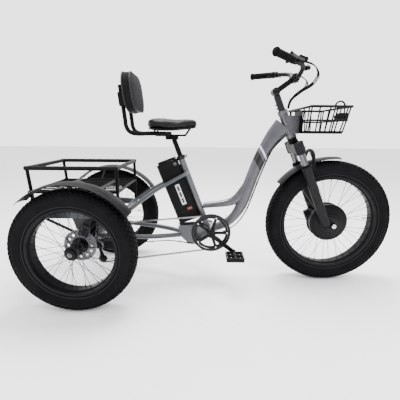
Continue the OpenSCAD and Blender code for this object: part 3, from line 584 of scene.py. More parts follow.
def make_tyre(name, node, centre, radius, bead, body, count):
    shape = Shape()
    drop = 0.0052
    beads = [(bead + 0.0003, 0.031), (bead + 0.0003, 0.0355), (bead + 0.009, 0.0355)]
    wall = ((0.017, 0.0405), (0.0176, 0.0416), (0.0196, 0.0417), (0.0203, 0.0421))
    side = [(bead + r, y) for r, y in wall]
    crown = [tyre_section(radius, bead, math.radians(a), drop) for a in range(8, 173, 4)]
    profile = beads + side + crown + [(r, -y) for r, y in side[::-1] + beads[::-1]]
    profile += [(bead + 0.02, -0.034), (radius - 0.014, -0.02), (radius - 0.014, 0.02), (bead + 0.02, 0.034)]
    shape.turned(profile, wheel_place(centre), 144)
    step = TAU / count
    rows = [(90, 0.3, 7.5, 0.0), (69, 0.27, 7.0, 0.5), (111, 0.27, 7.0, 0.5), (50, 0.3, 6.5, 0.0),
            (130, 0.3, 6.5, 0.0), (33, 0.24, 5.5, 0.5), (147, 0.24, 5.5, 0.5)]
    for row, length, width, shift in rows:
        for i in range(count):
            points, faces = knob(radius, bead, math.radians(row), (i + shift) * step, step * length,
                                 math.radians(width), drop, 0.005)
            shape.add(points, faces, wheel_place(centre))
    tyre = shape.made(name, node, body, node, 30)
    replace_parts(tyre, node)


REAR_WHEELS = [("left", LEFT_AXLE), ("right", RIGHT_AXLE)]
make_tyre("tread_front", "front_tyre", FRONT_AXLE, FRONT_R, FRONT_BEAD, "front_wheel", 84)
for name, axle in REAR_WHEELS:
    make_tyre("tread_" + name, "tyre_" + name, axle, REAR_R, REAR_BEAD, name + "_rear_wheel", 72)


# ---- Wheels: nipples, valves, nuts and covers ----

SPOKES = 36
WELL_DEPTH = 0.0115
VALVE_TURN = 0.087


def wheel_details(name, centre, bead, body, node, finish):
    shape = Shape()
    for i, (c, s) in enumerate(circle(SPOKES)):
        out = Vector((c, 0, s))
        foot = centre + out * (bead - WELL_DEPTH) + Vector((0, 0.008 if i % 2 == 0 else -0.008, 0))
        shape.turned([(0.0024, 0.001), (0.0024, -0.004), (0.0017, -0.011), (0.0014, -0.012)],
                     facing(foot, out), 8, closed=False)
    valve = centre + Vector((math.cos(VALVE_TURN), 0, math.sin(VALVE_TURN))) * (bead - WELL_DEPTH)
    shape.turned([(0.0042, 0.001), (0.0042, -0.004), (0.003, -0.005), (0.003, -0.028), (0.004, -0.029),
                  (0.004, -0.037), (0.0005, -0.038)],
                 facing(valve, valve - centre), 14, closed=False)
    shape.made(name, finish, body, node)


wheel_details("nipples_front", FRONT_AXLE, FRONT_BEAD, "front_wheel", "front_spokes", "spoke")
for name, axle in REAR_WHEELS:
    wheel_details("nipples_" + name, axle, REAR_BEAD, name + "_rear_wheel", "spokes_" + name, "dark_spoke")

motor = Shape()
for c, s in circle(8, 0.2):
    motor.bolt(FRONT_AXLE + Vector((0.083 * c, -0.0345, 0.083 * s)), (0, -1, 0), 0.0038, 0.0022)
motor.turned([(0.013, 0.0452), (0.034, 0.0452), (0.037, 0.0474), (0.034, 0.0492), (0.014, 0.0492)],
             at(FRONT_AXLE) @ swing(90, "X"), 48)
motor.made("motor_cover", "anodised", "front_wheel", "hub_motor")

axle_ends = Shape()
for side in (-1, 1):
    axle_ends.nut(FRONT_AXLE + Vector((0, side * 0.0955, 0)), (0, side, 0), 0.0125, 0.007)
axle_ends.made("fork_nuts", "steel", "fork_legs", "fork_lowers")
for side, centre, body, node in ((-1, RIGHT_AXLE, "right_rear_wheel", "hub_right"),
                                 (1, LEFT_AXLE, "left_rear_wheel", "hub_left")):
    cap = Shape()
    cap.nut(centre + Vector((0, side * 0.046, 0)), (0, side, 0), 0.0125, 0.006)
    for c, s in circle(5):
        cap.bolt(centre + Vector((0.0325 * c, -side * 0.0702, 0.0325 * s)), (0, -side, 0), 0.0035, 0.002)
    cap.made(node + "_nut", "dark_steel", body, node)


# ---- Chain and teeth ----

WHEELS = [(Vector((CRANK.x - REAR.x, CRANK.z)), 48, -1), (Vector((0.036, 0.136)), 11, -1),
          (Vector((0.016, 0.214)), 11, 1), (Vector((0, RIGHT_AXLE.z)), 18, -1)]


def pitch_radius(teeth):
    return PITCH / (2 * math.sin(math.pi / teeth))


def run_angle(a, b):
    """Direction of the straight run of chain from one wheel to the next."""
    d = b[0] - a[0]
    crossing = b[2] * pitch_radius(b[1]) - a[2] * pitch_radius(a[1])
    return math.atan2(d.y, d.x) - math.asin(crossing / d.length)


def chain_path():
    """The loop through the middles of the links, as x and z from the rear axle."""
    points = []
    for i, wheel in enumerate(WHEELS):
        sense = wheel[2]
        start = run_angle(WHEELS[i - 1], wheel) - math.pi / 2 * sense
        stop = run_angle(wheel, WHEELS[(i + 1) % 4]) - math.pi / 2 * sense
        turn = sense * ((sense * (stop - start)) % TAU)
        steps = max(int(abs(turn) / 0.04), 2)
        for k in range(steps + 1):
            a = start + turn * k / steps
            points.append(wheel[0] + Vector((math.cos(a), math.sin(a))) * pitch_radius(wheel[1]))
    return points


def even_stations(points, pitch):
    """Points a chain pitch apart round a closed loop."""
    loop = points + [points[0]]
    lengths = [0]
    for a, b in zip(loop, loop[1:]):
        lengths.append(lengths[-1] + (b - a).length)
    count = round(lengths[-1] / pitch)
    count += count % 2
    found = []
    j = 0
    for i in range(count):
        s = lengths[-1] * i / count
        while lengths[j + 1] < s:
            j += 1
        share = (s - lengths[j]) / max(lengths[j + 1] - lengths[j], 1e-9)
        found.append(loop[j].lerp(loop[j + 1], share))
    return found


def link_outline(length, big, waist):
    """A figure of eight round two pins, in the plane of the plate."""
    right = [(length / 2 + big * math.cos(a), big * math.sin(a))
             for a in (-1.9, -1.3, -0.65, 0, 0.65, 1.3, 1.9)]
    left = [(-x, -y) for x, y in right]
    return right + [(0, waist)] + left + [(0, -waist)]


stations = even_stations(chain_path(), PITCH)
chain = Shape()
for i, here in enumerate(stations):
    there = stations[(i + 1) % len(stations)]
    mid, d = (here + there) / 2, there - here
    angle = math.atan2(d.y, d.x)
    gap = 0.0026 if i % 2 else 0.0036
    place = at(REAR + Vector((mid.x, CHAIN_Y, mid.y))) @ Matrix.Rotation(-angle, 4, "Y")
    for side in (-1, 1):
        outline = link_outline(d.length, 0.0041, 0.003)
        plate = [[(x, side * gap + t, z) for x, z in outline] for t in (-0.0005, 0.0005)]
        chain.loft(plate, place)
    pin = REAR + Vector((here.x, CHAIN_Y, here.y))
    chain.turned([(0.0018, -0.0045), (0.0018, 0.0045)], facing(pin, (0, 1, 0)), 8, closed=False)
    chain.turned([(0.0038, -0.0023), (0.0038, 0.0023)], facing(pin, (0, 1, 0)), 10, closed=False)
chain_piece = chain.made("chain_links", "chain", "frame", "chain", moves=False)
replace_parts(chain_piece, "chain")
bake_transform(chain_piece)


def toothed(shape, centre, teeth, y, inner, thickness=0.0018):
    """A flat ring with teeth that fit between the chain's rollers."""
    r = pitch_radius(teeth)
    outline = []
    for i in range(teeth):
        for share, reach in ((0.0, -0.0039), (0.2, -0.0028), (0.38, 0.0018), (0.5, 0.0034), (0.62, 0.0018),
                             (0.8, -0.0028)):
            a = TAU * (i + share) / teeth
            outline.append(((r + reach) * math.cos(a), (r + reach) * math.sin(a)))
    hole = [(inner * c, inner * s) for c, s in circle(len(outline))]
    t = thickness / 2
    place = at(Vector((centre.x, y, centre.z))) @ swing(90, "X")
    rings = ((-t, hole), (-t, outline), (t, outline), (t, hole))
    shape.loft([[(x, z, h) for x, z in ring] for h, ring in rings], place, wrap=True)


ring_teeth = Shape()
toothed(ring_teeth, CRANK, 48, CHAIN_Y, 0.08)
ring_teeth.made("chainring_teeth", "anodised", "crank", "chainring")
cogs = Shape()
for i, teeth in enumerate((28, 24, 22, 20, 18, 16, 14)):
    toothed(cogs, RIGHT_AXLE, teeth, CHAIN_Y + (4 - i) * 0.005, pitch_radius(teeth) - 0.008, 0.0021)
cogs.made("sprocket_teeth", "alloy", "sprockets", "cassette")
for name, node, body in (("guide_teeth", "guide_pulley", "upper_pulley"),
                         ("tension_teeth", "tension_pulley", "lower_pulley")):
    pulley = Shape()
    toothed(pulley, middle(node), 11, CHAIN_Y, 0.01, 0.0032)
    pulley.made(name, "plastic", body, node)

spider = Shape()
for c, s in circle(5):
    spider.bolt(CRANK + Vector((0.088 * c, -0.0752, 0.088 * s)), (0, -1, 0), 0.0052, 0.003)
spider.made("chainring_bolts", "steel", "crank", "chainring")
crank_bolts = Shape()
for side in (-1, 1):
    crank_bolts.turned([(0.0115, -0.001), (0.0115, 0.002), (0.009, 0.0045), (0.0005, 0.005)],
                       facing(CRANK + Vector((0, side * 0.1058, 0)), (0, side, 0)), 32, closed=False)
crank_bolts.made("crank_caps", "plastic", "crank", "crankset")


# ---- Pedals ----

def pedal_details(node, body):
    low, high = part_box(node)
    centre = (low + high) / 2
    shape = Shape()
    reflector = Shape()
    for x in (-0.042, -0.0235, 0.0235, 0.042):
        for k in range(5):
            y = low.y + 0.008 + (high.y - low.y - 0.016) * k / 4
            if abs(x) < 0.03 and k not in (0, 2, 4):
                continue
            for side in (-1, 1):
                tip = facing((centre.x + x, y, centre.z + side * 0.011), (0, 0, side))
                shape.turned([(0.0022, -0.001), (0.0019, 0.0016), (0.0012, 0.0024)], tip, 8, closed=False)
    for side in (-1, 1):
        for y in (-0.021, 0.021):
            place = at((centre.x + side * 0.0465, centre.y + y, centre.z))
            reflector.block((0.003, 0.034, 0.012), place)
    shape.made(body + "_pins", "steel", body, node)
    reflector.made(body + "_edges", "gloss", body, node)


pedal_details("pedal_right", "right_pedal")
pedal_details("pedal_left", "left_pedal")


# ---- Soft goods ----

def evaluated(obj):
    """The object's mesh as its modifiers leave it, with the modifiers taken off."""
    graph = bpy.context.evaluated_depsgraph_get()
    mesh = bpy.data.meshes.new_from_object(obj.evaluated_get(graph))
    obj.modifiers.clear()
    obj.data = mesh


CLOTH_FRAMES = 20
CLOTH_VOXEL = 0.005
CLOTH_PRESSURE = 4.0


def inflate(obj, cap, hold):
    """Remeshes a closed form and swells it as cloth, by cap at most. hold(point) is 1 where it is fixed."""
    remesh = obj.modifiers.new("remesh", "REMESH")
    remesh.mode = "VOXEL"
    remesh.voxel_size = CLOTH_VOXEL
    evaluated(obj)
    rest = [v.co.copy() for v in obj.data.vertices]
    pins = obj.vertex_groups.new(name="pins")
    for i, co in enumerate(rest):
        pins.add([i], hold(co), "REPLACE")
    cloth = obj.modifiers.new("cloth", "CLOTH")
    settings = {"vertex_group_mass": "pins", "use_pressure": True,
                "uniform_pressure_force": CLOTH_PRESSURE, "tension_stiffness": 20,
                "compression_stiffness": 20, "bending_stiffness": 0.6, "quality": 5}
    for key, value in settings.items():
        setattr(cloth.settings, key, value)
    cloth.settings.effector_weights.gravity = 0
    cloth.collision_settings.use_self_collision = False
    cloth.point_cache.frame_start = 1
    cloth.point_cache.frame_end = CLOTH_FRAMES
    for step in range(1, CLOTH_FRAMES + 1):
        bpy.context.scene.frame_set(step)
    evaluated(obj)
    for vertex, co in zip(obj.data.vertices, rest):
        move = vertex.co - co
        if move.length > cap:
            vertex.co = co + move * (cap / move.length)
    bpy.context.scene.frame_set(1)
    smooth = obj.modifiers.new("subdivision", "SUBSURF")
    smooth.levels = 1
    evaluated(obj)
    obj.data.shade_smooth()


def on_surface(obj, points, lift):
    """The nearest places on a piece's surface, raised along its normal."""
    tree = BVHTree.FromObject(obj, bpy.context.evaluated_depsgraph_get())
    nearest = [tree.find_nearest(Vector(p)) for p in points]
    return [place + normal * lift for place, normal, *_ in nearest]


def rounded_outline(half_w, height, corner, grow, count=96):
    """Points round a rectangle with round corners, as (across, up), pulled in or out by grow."""
    points = []
    per = count // 4
    right, left, top = half_w - corner, corner - half_w, height - corner
    centres = [(right, corner), (right, top), (left, top), (left, corner)]
    for q, (cy, cz) in enumerate(centres):
        for k in range(per):
            a = math.pi / 2 * (q - 1 + (k + 0.5) / per)
            points.append((cy + (corner + grow) * math.cos(a), cz + (corner + grow) * math.sin(a)))
    return points


PAD_HALF_W, PAD_H, PAD_CORNER = 0.15, 0.195, 0.082
PAD_BACK = 0.0185


def pad_loop(x, grow, sink=0.0):
    """A ring of the backrest pad. sink draws its long sides in between the corners."""
    loop = []
    for y, z in rounded_outline(PAD_HALF_W, PAD_H, PAD_CORNER, grow):
        pull = sink * math.cos(math.pi * (z / PAD_H - 0.5)) * (abs(y) / PAD_HALF_W) ** 4
        pull_z = sink * math.cos(math.pi / 2 * y / PAD_HALF_W) * (abs(z / PAD_H - 0.5) * 2) ** 4
        loop.append((x, y - math.copysign(pull, y), z - math.copysign(pull_z, z - PAD_H / 2)))
    return loop


pad = Shape()
# Rings from the board to the face of the cushion: distance forward, growth and sink
PAD_RINGS = [(PAD_BACK + 0.001, -0.052, 0), (PAD_BACK + 0.001, -0.03, 0), (PAD_BACK + 0.001, -0.012, 0),
             (PAD_BACK + 0.003, -0.006, 0), (PAD_BACK + 0.008, -0.003, 0.002), (0.036, -0.0035, 0.003),
             (0.048, -0.004, 0.004), (0.058, -0.0035, 0.004), (0.0635, -0.004, 0.003), (0.067, -0.01, 0),
             (0.0695, -0.022, 0), (0.0712, -0.038, 0), (0.0718, -0.052, 0)]
pad.loft([pad_loop(*ring) for ring in PAD_RINGS], PAD)
pad_piece = pad.made("backrest_cushion", "fabric", "backrest", "backrest_pad", 60)
PAD_INVERSE = PAD.inverted()


def pad_hold(co):
    """The back board is rigid, and the two piped seams hold the cover in."""
    x = (PAD_INVERSE @ co).x
    if x < PAD_BACK + 0.004:
        return 1.0
    return 0.85 if abs(x - 0.0635) < 0.003 or abs(x - 0.0265) < 0.003 else 0.0


inflate(pad_piece, 0.008, pad_hold)
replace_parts(pad_piece, "backrest_pad")

PIPING_R = 0.0028
piping = Shape()
for x, grow in ((0.0655, -0.003), (0.0255, -0.002)):
    ring = on_surface(pad_piece, [PAD @ Vector(p) for p in pad_loop(x, grow)], PIPING_R * 0.3)
    piping.tube(ring, PIPING_R, 8, wrap=True)
piping.made("backrest_piping", "piping", "backrest", "backrest_pad")


def stitches(points, length=0.0042, gap=0.0026, radius=0.00045):
    """Short threads laid end to end along a path."""
    shape = Shape()
    carried = 0.0
    start = None
    for a, b in zip(points, points[1:]):
        span = (b - a).length
        along = (b - a).normalized()
        gone = 0.0
        while gone < span:
            need = (length if start else gap) - carried
            if gone + need > span:
                carried += span - gone
                break
            gone += need
            carried = 0.0
            place = a + along * gone
            if start:
                shape.tube([start, (start + place) / 2 + Vector((0, 0, 0.0001)), place], radius, 5)
                start = None
            else:
                start = place
    return shape


seam = on_surface(pad_piece, [PAD @ Vector(p) for p in pad_loop(0.0675, -0.0115)], 0.0003)
stitches(seam + seam[:1]).made("backrest_stitches", "thread", "backrest", "backrest_pad")


# The saddle: width and height of its sections from the tail to the nose, in millimetres
SADDLE_SECTIONS = [
    (311, 60, 858, 892), (320, 94, 848, 901), (340, 114, 844, 904), (362, 121, 843, 904),
    (384, 121, 842, 903), (404, 109, 842, 901), (424, 89, 842, 898), (444, 70, 843, 896),
    (468, 53, 845, 896), (494, 42, 848, 900), (520, 36, 851, 903), (542, 31, 854, 902),
    (556, 24, 858, 896), (561, 15, 864, 888)]
SADDLE_SIDES = 40


def saddle_ring(x, half_w, low, high, shrink=0.0):
    """One section of the saddle: a crowned top with a shallow middle channel, tucked in underneath."""
    loop = []
    half = (high - low) / 2
    for c, s in circle(SADDLE_SIDES):
        y = math.copysign(abs(c) ** 0.72, c) * (half_w - shrink)
        if s >= 0:
            z = abs(s) ** 0.62 * (half - shrink)
            z -= 3.2 * math.exp(-(y / 9) ** 2) * min(half_w / 70, 1)
        else:
            z = -abs(s) ** 0.55 * (half - shrink) * 0.92
            y *= 0.93
        loop.append(mm(x, y, (low + high) / 2 + z))
    return loop


saddle = Shape()
saddle.loft([saddle_ring(*section, shrink=2.0) for section in SADDLE_SECTIONS])
saddle_piece = saddle.made("saddle_cover", "leather", "seat", "saddle", 60)
rounding = saddle_piece.modifiers.new("rounding", "SUBSURF")
rounding.levels = 2
evaluated(saddle_piece)
SADDLE_LOW = mm(0, 0, 862).z
inflate(saddle_piece, 0.006, lambda co: 1.0 if co.z < SADDLE_LOW else 0.0)
saddle_piece.data.shade_smooth()
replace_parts(saddle_piece, "saddle")


def saddle_line(share, lift):
    """A closed line round the saddle at a share of its width, laid on the cover from above or the side."""
    right = [mm(x, -w * share, low + (high - low) * lift) for x, w, low, high in SADDLE_SECTIONS[1:-1]]
    left = [Vector((p.x, -p.y, p.z)) for p in right[::-1]]
    nose = [mm(SADDLE_SECTIONS[-1][0] + 4 * share, 0, 867 + 20 * lift)]
    tail = [mm(SADDLE_SECTIONS[0][0] - 2 * share, 0, 868 + 22 * lift)]
    loop = right + nose + left + tail
    return curve(loop + loop[:2], 5)[5:-4]


edge = on_surface(saddle_piece, saddle_line(1.06, 0.34), 0.0007)
saddle_piping = Shape()
saddle_piping.tube(edge, 0.0022, 8, wrap=True)
saddle_piping.made("saddle_piping", "leather", "seat", "saddle")
top_seam = on_surface(saddle_piece, saddle_line(0.74, 1.1), 0.0003)
stitches(top_seam + top_seam[:1]).made("saddle_stitches", "thread", "seat", "saddle")

shell = Shape()
ACROSS = (-1, -0.9, -0.7, -0.45, -0.2, 0, 0.2, 0.45, 0.7, 0.9, 1)
SKINS = [(y, -0.6) for y in ACROSS] + [(y, 2.4) for y in ACROSS[::-1]]
shell.loft([[mm(x, y * w * 0.93, low + lift + 7 * abs(y) ** 6) for y, lift in SKINS]
            for x, w, low, high in SADDLE_SECTIONS[1:-1]])
shell.made("saddle_base", "plastic", "seat", "saddle")


# ---- Handlebar ----

def grip_piece(place):
    shape = Shape()
    profile = [(0.0112, 0.0425), (0.015, 0.0425), (0.0165, 0.0445)]
    for k in range(24):
        z = 0.0475 + k * 0.0048
        profile += [(0.0164, z), (0.0152, z + 0.0006), (0.0152, z + 0.0016), (0.0164, z + 0.0022)]
    profile += [(0.0165, 0.165), (0.0188, 0.1665), (0.019, 0.171), (0.0178, 0.1738), (0.0112, 0.174)]
    along = place @ swing(90, "Y")
    shape.turned(profile, along, 36)
    plug = [(0.0111, 0.1735), (0.0111, 0.1752), (0.0095, 0.176), (0.0004, 0.1762)]
    shape.turned(plug, along, 24, closed=False)
    return shape


grips = grip_piece(RIGHT_GRIP)
left = grip_piece(LEFT_GRIP)
grips.add(left.points, left.faces)
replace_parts(grips.made("ribbed_grips", "grip", "bars", "grips", 40), "grips")

DISPLAY = BAR @ at((-0.009, -0.117, 0.063)) @ swing(18, "Y")
casing = Shape()
casing.block((0.0425, 0.0565, 0.003), DISPLAY @ at((0, 0, 0.0082)), 0.0012)
for k in range(3):
    casing.turned([(0.0034, 0.0085), (0.0034, 0.0108), (0.0024, 0.0114), (0.0003, 0.0115)],
                  DISPLAY @ at((-0.0155, -0.014 + 0.014 * k, 0)), 16, closed=False)
casing.made("display_bezel", "plastic", "bars", "bar_controls")
screen = Shape()
screen.block((0.026, 0.046, 0.001), DISPLAY @ at((0.0055, 0, 0.0101)), 0.0004)
screen.made("display_screen", "screen", "bars", "bar_controls")

bell = Shape()
BELL = BAR @ at((0.032, -0.08, 0.01))
dome = [(0.0178, 0.0195), (0.0186, 0.02)]
dome += [(0.0184 * c, 0.024 + 0.0135 * s) for c, s in circle(40)[:10]]
bell.turned(dome + [(0.0004, 0.0375)], BELL, 40, closed=False)
bell.turned([(0.0035, 0.0365), (0.0035, 0.0385), (0.0022, 0.0395), (0.0003, 0.0397)], BELL, 16, closed=False)
bell.made("bell_dome", "gloss", "bars", "bar_controls")

stem_bolts = Shape()
for side in (-1, 1):
    for up in (-0.017, 0.017):
        place = BAR_CLAMP + Vector((0.0125, side * 0.015, up))
        stem_bolts.bolt(place, (0.8, 0, math.copysign(0.6, up)), 0.0042, 0.004)
pivot = STEERING @ Vector((0, 0, STEM_PIVOT))
for side in (-1, 1):
    stem_bolts.bolt(pivot + Vector((0, side * 0.0235, 0)), (0, side, 0), 0.0075, 0.004)
stem_bolts.made("stem_bolts", "anodised", "bars", "stem_arm")
quill_bolts = Shape()
for z in (0.158, 0.178):
    quill_bolts.bolt(STEERING @ Vector((-0.0175, 0.006, z)), -HEAD_FORWARD, 0.0042, 0.005)
quill_bolts.turned([(0.0176, 0.1425), (0.0192, 0.143), (0.0192, 0.1465), (0.0176, 0.147)], STEERING, 40)
quill_bolts.made("quill_bolts", "anodised", "steerer", "stem_quill")


# ---- Cables ----

LOOP_RIGHT = [(-37, -171, 46), (-11, -144, 50), (52, -118, 38), (88, -84, 4), (76, -46, -34), (34, -16, -64),
              (-10, -4, -104), (-22, 0, -146)]
LOOP_LEFT = [(-37, 171, 46), (-11, 144, 50), (60, 118, 34), (92, 80, 0), (74, 44, -38), (30, 18, -68),
             (-8, 6, -106), (-18, 6, -146)]


def bar_line(route):
    """A smooth line through points given in millimetres from the bar's clamp."""
    return curve([BAR @ (Vector(p) / 1000) for p in route], 8)


loops = Shape()
for route, spread in ((LOOP_RIGHT, 1), (LOOP_LEFT, -1)):
    for lane in (-1, 0, 1):
        points = []
        for i, point in enumerate(route):
            part = math.sin(math.pi * i / (len(route) - 1))
            off = Vector((lane * (2.4 + 2.4 * part), spread * lane * part, -lane * (1.2 + 3 * part)))
            points.append(Vector(point) + off)
        loops.tube(bar_line(points), 0.0026, 8)
    line = bar_line(route)
    loops.tube(line[len(line) * 5 // 9:-2], 0.0058, 12)
for share in (0.7, 0.82, 0.92):
    for route in (LOOP_RIGHT, LOOP_LEFT):
        line = bar_line(route)
        i = int(share * (len(line) - 1))
        loops.turned([(0.0052, -0.002), (0.0062, -0.0015), (0.0062, 0.0015), (0.0052, 0.002)],
                     facing(line[i], line[i + 1] - line[i]), 16)
loops_piece = loops.made("bar_cable_loops", "cable", "bars", "bar_cables", moves=False)
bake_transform(loops_piece)
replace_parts(loops_piece, "bar_cables")

REAR_CABLE = [(1002, -26, 800), (960, -27, 742), (925, -27, 660), (893, -27, 570), (866, -27, 486),
              (838, -27, 410), (790, -27, 338), (720, -27, 292), (640, -34, 262), (560, -35, 218),
              (470, -42, 232), (400, -88, 256), (300, -122, 262), (180, -130, 270), (60, -130, 286)]
rear_line = curve([mm(*p) for p in REAR_CABLE], 8)
run = Shape()
run.tube(rear_line, 0.0025, 8)
run.tube([p + Vector((-0.004, 0.0012, -0.002)) for p in rear_line], 0.0019, 8)
for i in range(10, len(rear_line) - 8, 14):
    run.turned([(0.0036, -0.0018), (0.0058, -0.0014), (0.0058, 0.0014), (0.0036, 0.0018)],
               facing(rear_line[i] + Vector((-0.002, 0.0006, -0.001)), rear_line[i + 1] - rear_line[i]), 14)
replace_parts(run.made("frame_cable_run", "cable", "frame", "frame_cables"), "frame_cables")

HOSE = [(27, 12, -20), (36, 22, -56), (52, 48, -104), (54, 62, -150), (40, 74, -190), (29, 80, -240),
        (27.5, 81, -320), (22, 74, -392), (-8, 62, -424), (-36, 52, -442)]
hose = Shape()
hose.tube(curve([STEERING @ (Vector(p) / 1000) for p in HOSE], 8), 0.0024, 8)
hose_piece = hose.made("front_brake_hose", "cable", "steerer", "bar_cables", moves=False)
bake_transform(hose_piece)


# ---- Fork, frame and cargo details ----

fork_bolts = Shape()
for side in (-1, 1):
    fork_bolts.bolt(STEERING @ Vector((0.026, side * 0.077, -0.07)), HEAD_FORWARD, 0.0042, 0.004)
    leg = STEERING @ at((0, side * LEG_Y, 0))
    fork_bolts.turned([(0.0265, -0.0385), (0.0265, -0.0345), (0.0245, -0.0325), (0.0245, -0.04)], leg, 36)
    fork_bolts.turned([(0.013, -0.038), (0.013, -0.033), (0.01, -0.0305), (0.0004, -0.03)],
                      leg, 24, closed=False)
fork_bolts.made("crown_caps", "anodised", "steerer", "fork_crown")
seals = Shape()
for side in (-1, 1):
    lip = [(0.0172, -0.169), (0.0246, -0.17), (0.025, -0.165), (0.0215, -0.16), (0.0172, -0.1585)]
    seals.turned(lip, STEERING @ at((0, side * LEG_Y, 0)), 40)
seals.made("fork_seals", "grip", "fork_legs", "fork_lowers")

clamp = Shape()
clamp.bolt(SEATING @ Vector((0.027, -0.0118, 0.433)), (0, -1, 0), 0.0048, 0.005)
clamp.turned([(0.0045, 0.012), (0.0045, 0.019), (0.003, 0.02)],
             facing(SEATING @ Vector((0.027, 0, 0.433)), (0, 1, 0)), 16, closed=False)
lever = [SEATING @ Vector(p) for p in ((0.027, 0.0165, 0.433), (0.018, 0.022, 0.432), (-0.006, 0.027, 0.431),
                                       (-0.034, 0.026, 0.43))]
clamp.tube(curve(lever, 6), [0.0042] * 6 + [0.0036] * 7 + [0.003] * 6, 10)
clamp.made("seat_clamp_lever", "alloy", "frame", "seat_clamp")

basket_bolts = Shape()
for x in (-150, 70):
    for y in (-176, 176):
        basket_bolts.bolt(mm(x, y, 550), (0, 0, 1), 0.0055, 0.004)
for x in (-0.24, 0.175):
    for side in (-1, 1):
        basket_bolts.bolt(REAR + Vector((x, side * 0.2, 0.418)), (0, side, 0), 0.009, 0.005)
for y in (-0.045, 0.045):
    for z in (0.856, 0.905):
        basket_bolts.bolt(Vector((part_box("front_basket")[0].x + 0.004, y, z)), (1, 0, 0), 0.005, 0.004)
basket_bolts.made("basket_bolts", "dark_steel", "frame", "rear_basket")

caliper_bolts = Shape()
for side in (-1, 1):
    for reach in (0.066, 0.088):
        out = swing(-70, "Y") @ Vector((reach, 0, 0.012))
        place = Vector((RIGHT_AXLE.x, side * 0.272, RIGHT_AXLE.z)) + out
        caliper_bolts.bolt(place, (0, side, 0), 0.005, 0.004)
caliper_bolts.made("caliper_bolts", "dark_steel", "frame", "rear_calipers")

lamp = Shape()
LAMP = at((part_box("headlight")[1].x, 0, 0.917)) @ swing(90, "Y")
lamp.turned([(0.0172, -0.004), (0.0195, -0.004), (0.02, 0.001), (0.0178, 0.0022), (0.0165, 0.0005)],
            LAMP, 48)
lamp.made("headlight_bezel", "alloy", "frame", "headlight")
glass = Shape()
glass.turned([(0.0166, -0.001), (0.015, 0.0012), (0.01, 0.003), (0.004, 0.0038), (0.0003, 0.004)],
             LAMP, 48, closed=False)
glass.made("headlight_lens", "lens", "frame", "headlight")
fins = Shape()
for k in range(5):
    fins.block((0.0016, 0.044, 0.0018), LAMP @ at((-0.0206, 0, -0.012 - 0.006 * k)), 0.0004)
fins.made("headlight_fins", "anodised", "frame", "headlight")


def battery_piece(name, finish, size, edge, spots):
    """The same block on both sides of the battery, at every spot along, out and up."""
    shape = Shape()
    for x, y, z in spots:
        for side in (-1, 1):
            shape.block(size, SEATING @ at((x, side * y, z)), edge)
    shape.made(name, finish, "battery", "battery_case")


battery_piece("battery_label", "label", (0.024, 0.0008, 0.118), 0.0003, [(-0.071, 0.0362, 0.248)])
battery_piece("battery_marks", "band", (0.012, 0.0005, 0.029), 0.0002,
              [(-0.071, 0.0367, 0.213 + 0.035 * k) for k in range(3)])
battery_piece("battery_patch", "red", (0.026, 0.0008, 0.014), 0.0003, [(-0.052, 0.0362, 0.16)])
lock = Shape()
lock.turned([(0.0095, -0.001), (0.0095, 0.003), (0.008, 0.004), (0.003, 0.0036), (0.0004, 0.0036)],
            facing(SEATING @ Vector((-0.04, -0.0355, 0.415)), (0, -1, 0)), 32, closed=False)
lock.made("battery_lock", "dark_steel", "battery", "battery_case")
battery_piece("battery_seams", "gloss", (0.1, 0.001, 0.0022), 0.0004,
              [(-0.08, 0.0361, z) for z in (0.15, 0.42)])


# ---- Floor, light and camera ----

def floor():
    mesh = bpy.data.meshes.new("floor")
    mesh.from_pydata([(-14, -14, 0), (14, -14, 0), (14, 14, 0), (-14, 14, 0)], [], [[0, 1, 2, 3]])
    obj = bpy.data.objects.new("floor", mesh)
    bpy.context.scene.collection.objects.link(obj)
    finish = Finish("floor_paint", (0.94, 0.94, 0.945, 1), 0.7, specular=0.2)
    finish.colour = finish.ramp(finish.noise(2, 3), (0.92, 0.92, 0.925, 1), (0.95, 0.95, 0.955, 1), 0.3, 0.7)
    mesh.materials.append(finish.grain(120, 0.0002).done())


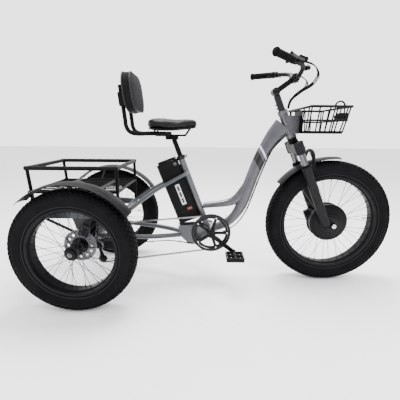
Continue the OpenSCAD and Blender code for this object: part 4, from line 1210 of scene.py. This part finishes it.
def area_light(name, place, target, size, power):
    data = bpy.data.lights.new(name, "AREA")
    data.shape = "RECTANGLE"
    data.size, data.size_y = size
    data.energy = power
    obj = bpy.data.objects.new(name, data)
    obj.location = place
    obj.rotation_euler = (Vector(target) - Vector(place)).to_track_quat("-Z", "Y").to_euler()
    bpy.context.scene.collection.objects.link(obj)


floor()
area_light("key", (1.6, -2.4, 3.2), (0, 0, 0.5), (1.8, 1.4), 90)
area_light("fill", (-2.8, -2.2, 1.8), (-0.2, 0, 0.5), (1.6, 1.8), 20)
area_light("top", (0.0, 0.5, 3.4), (0, 0, 0.4), (1.6, 1.0), 190)
area_light("back", (0.6, 3.0, 2.0), (0, 0, 0.6), (2.4, 1.2), 12)


def studio():
    """A pale room, brighter behind the tricycle's left side than in front of its right side."""
    world = bpy.data.worlds.new("studio")
    world.use_nodes = True
    tree = world.node_tree
    background = tree.nodes["Background"]
    background.inputs["Color"].default_value = (0.98, 0.985, 0.99, 1)
    direction = tree.nodes.new("ShaderNodeTexCoord").outputs["Generated"]
    split = tree.nodes.new("ShaderNodeSeparateXYZ")
    tree.links.new(direction, split.inputs[0])
    level = tree.nodes.new("ShaderNodeMapRange")
    for key, value in (("From Min", -1.0), ("From Max", 0.6), ("To Min", 1.0), ("To Max", 2.9)):
        level.inputs[key].default_value = value
    tree.links.new(split.outputs["Y"], level.inputs["Value"])
    tree.links.new(level.outputs["Result"], background.inputs["Strength"])
    bpy.context.scene.world = world


studio()

CAMERA_AT = Vector((-0.092, -1.5575, 0.8403))
PITCH_DOWN, YAW, ROLL = 0.2369, 0.0023, 0.0069
LENS = 25.63
right = Vector((math.cos(YAW), math.sin(YAW), 0))
level = Vector((-math.sin(YAW), math.cos(YAW), 0))
forward = level * math.cos(PITCH_DOWN) - Vector((0, 0, math.sin(PITCH_DOWN)))
up = right.cross(forward)
right_rolled = right * math.cos(ROLL) + up * math.sin(ROLL)
up_rolled = up * math.cos(ROLL) - right * math.sin(ROLL)
camera_data = bpy.data.cameras.new("camera")
camera_data.sensor_width = 36
camera_data.lens = LENS
camera = bpy.data.objects.new("camera", camera_data)
camera.matrix_world = at(CAMERA_AT) @ Matrix((right_rolled, up_rolled, -forward)).transposed().to_4x4()
bpy.context.scene.collection.objects.link(camera)
bpy.context.scene.camera = camera
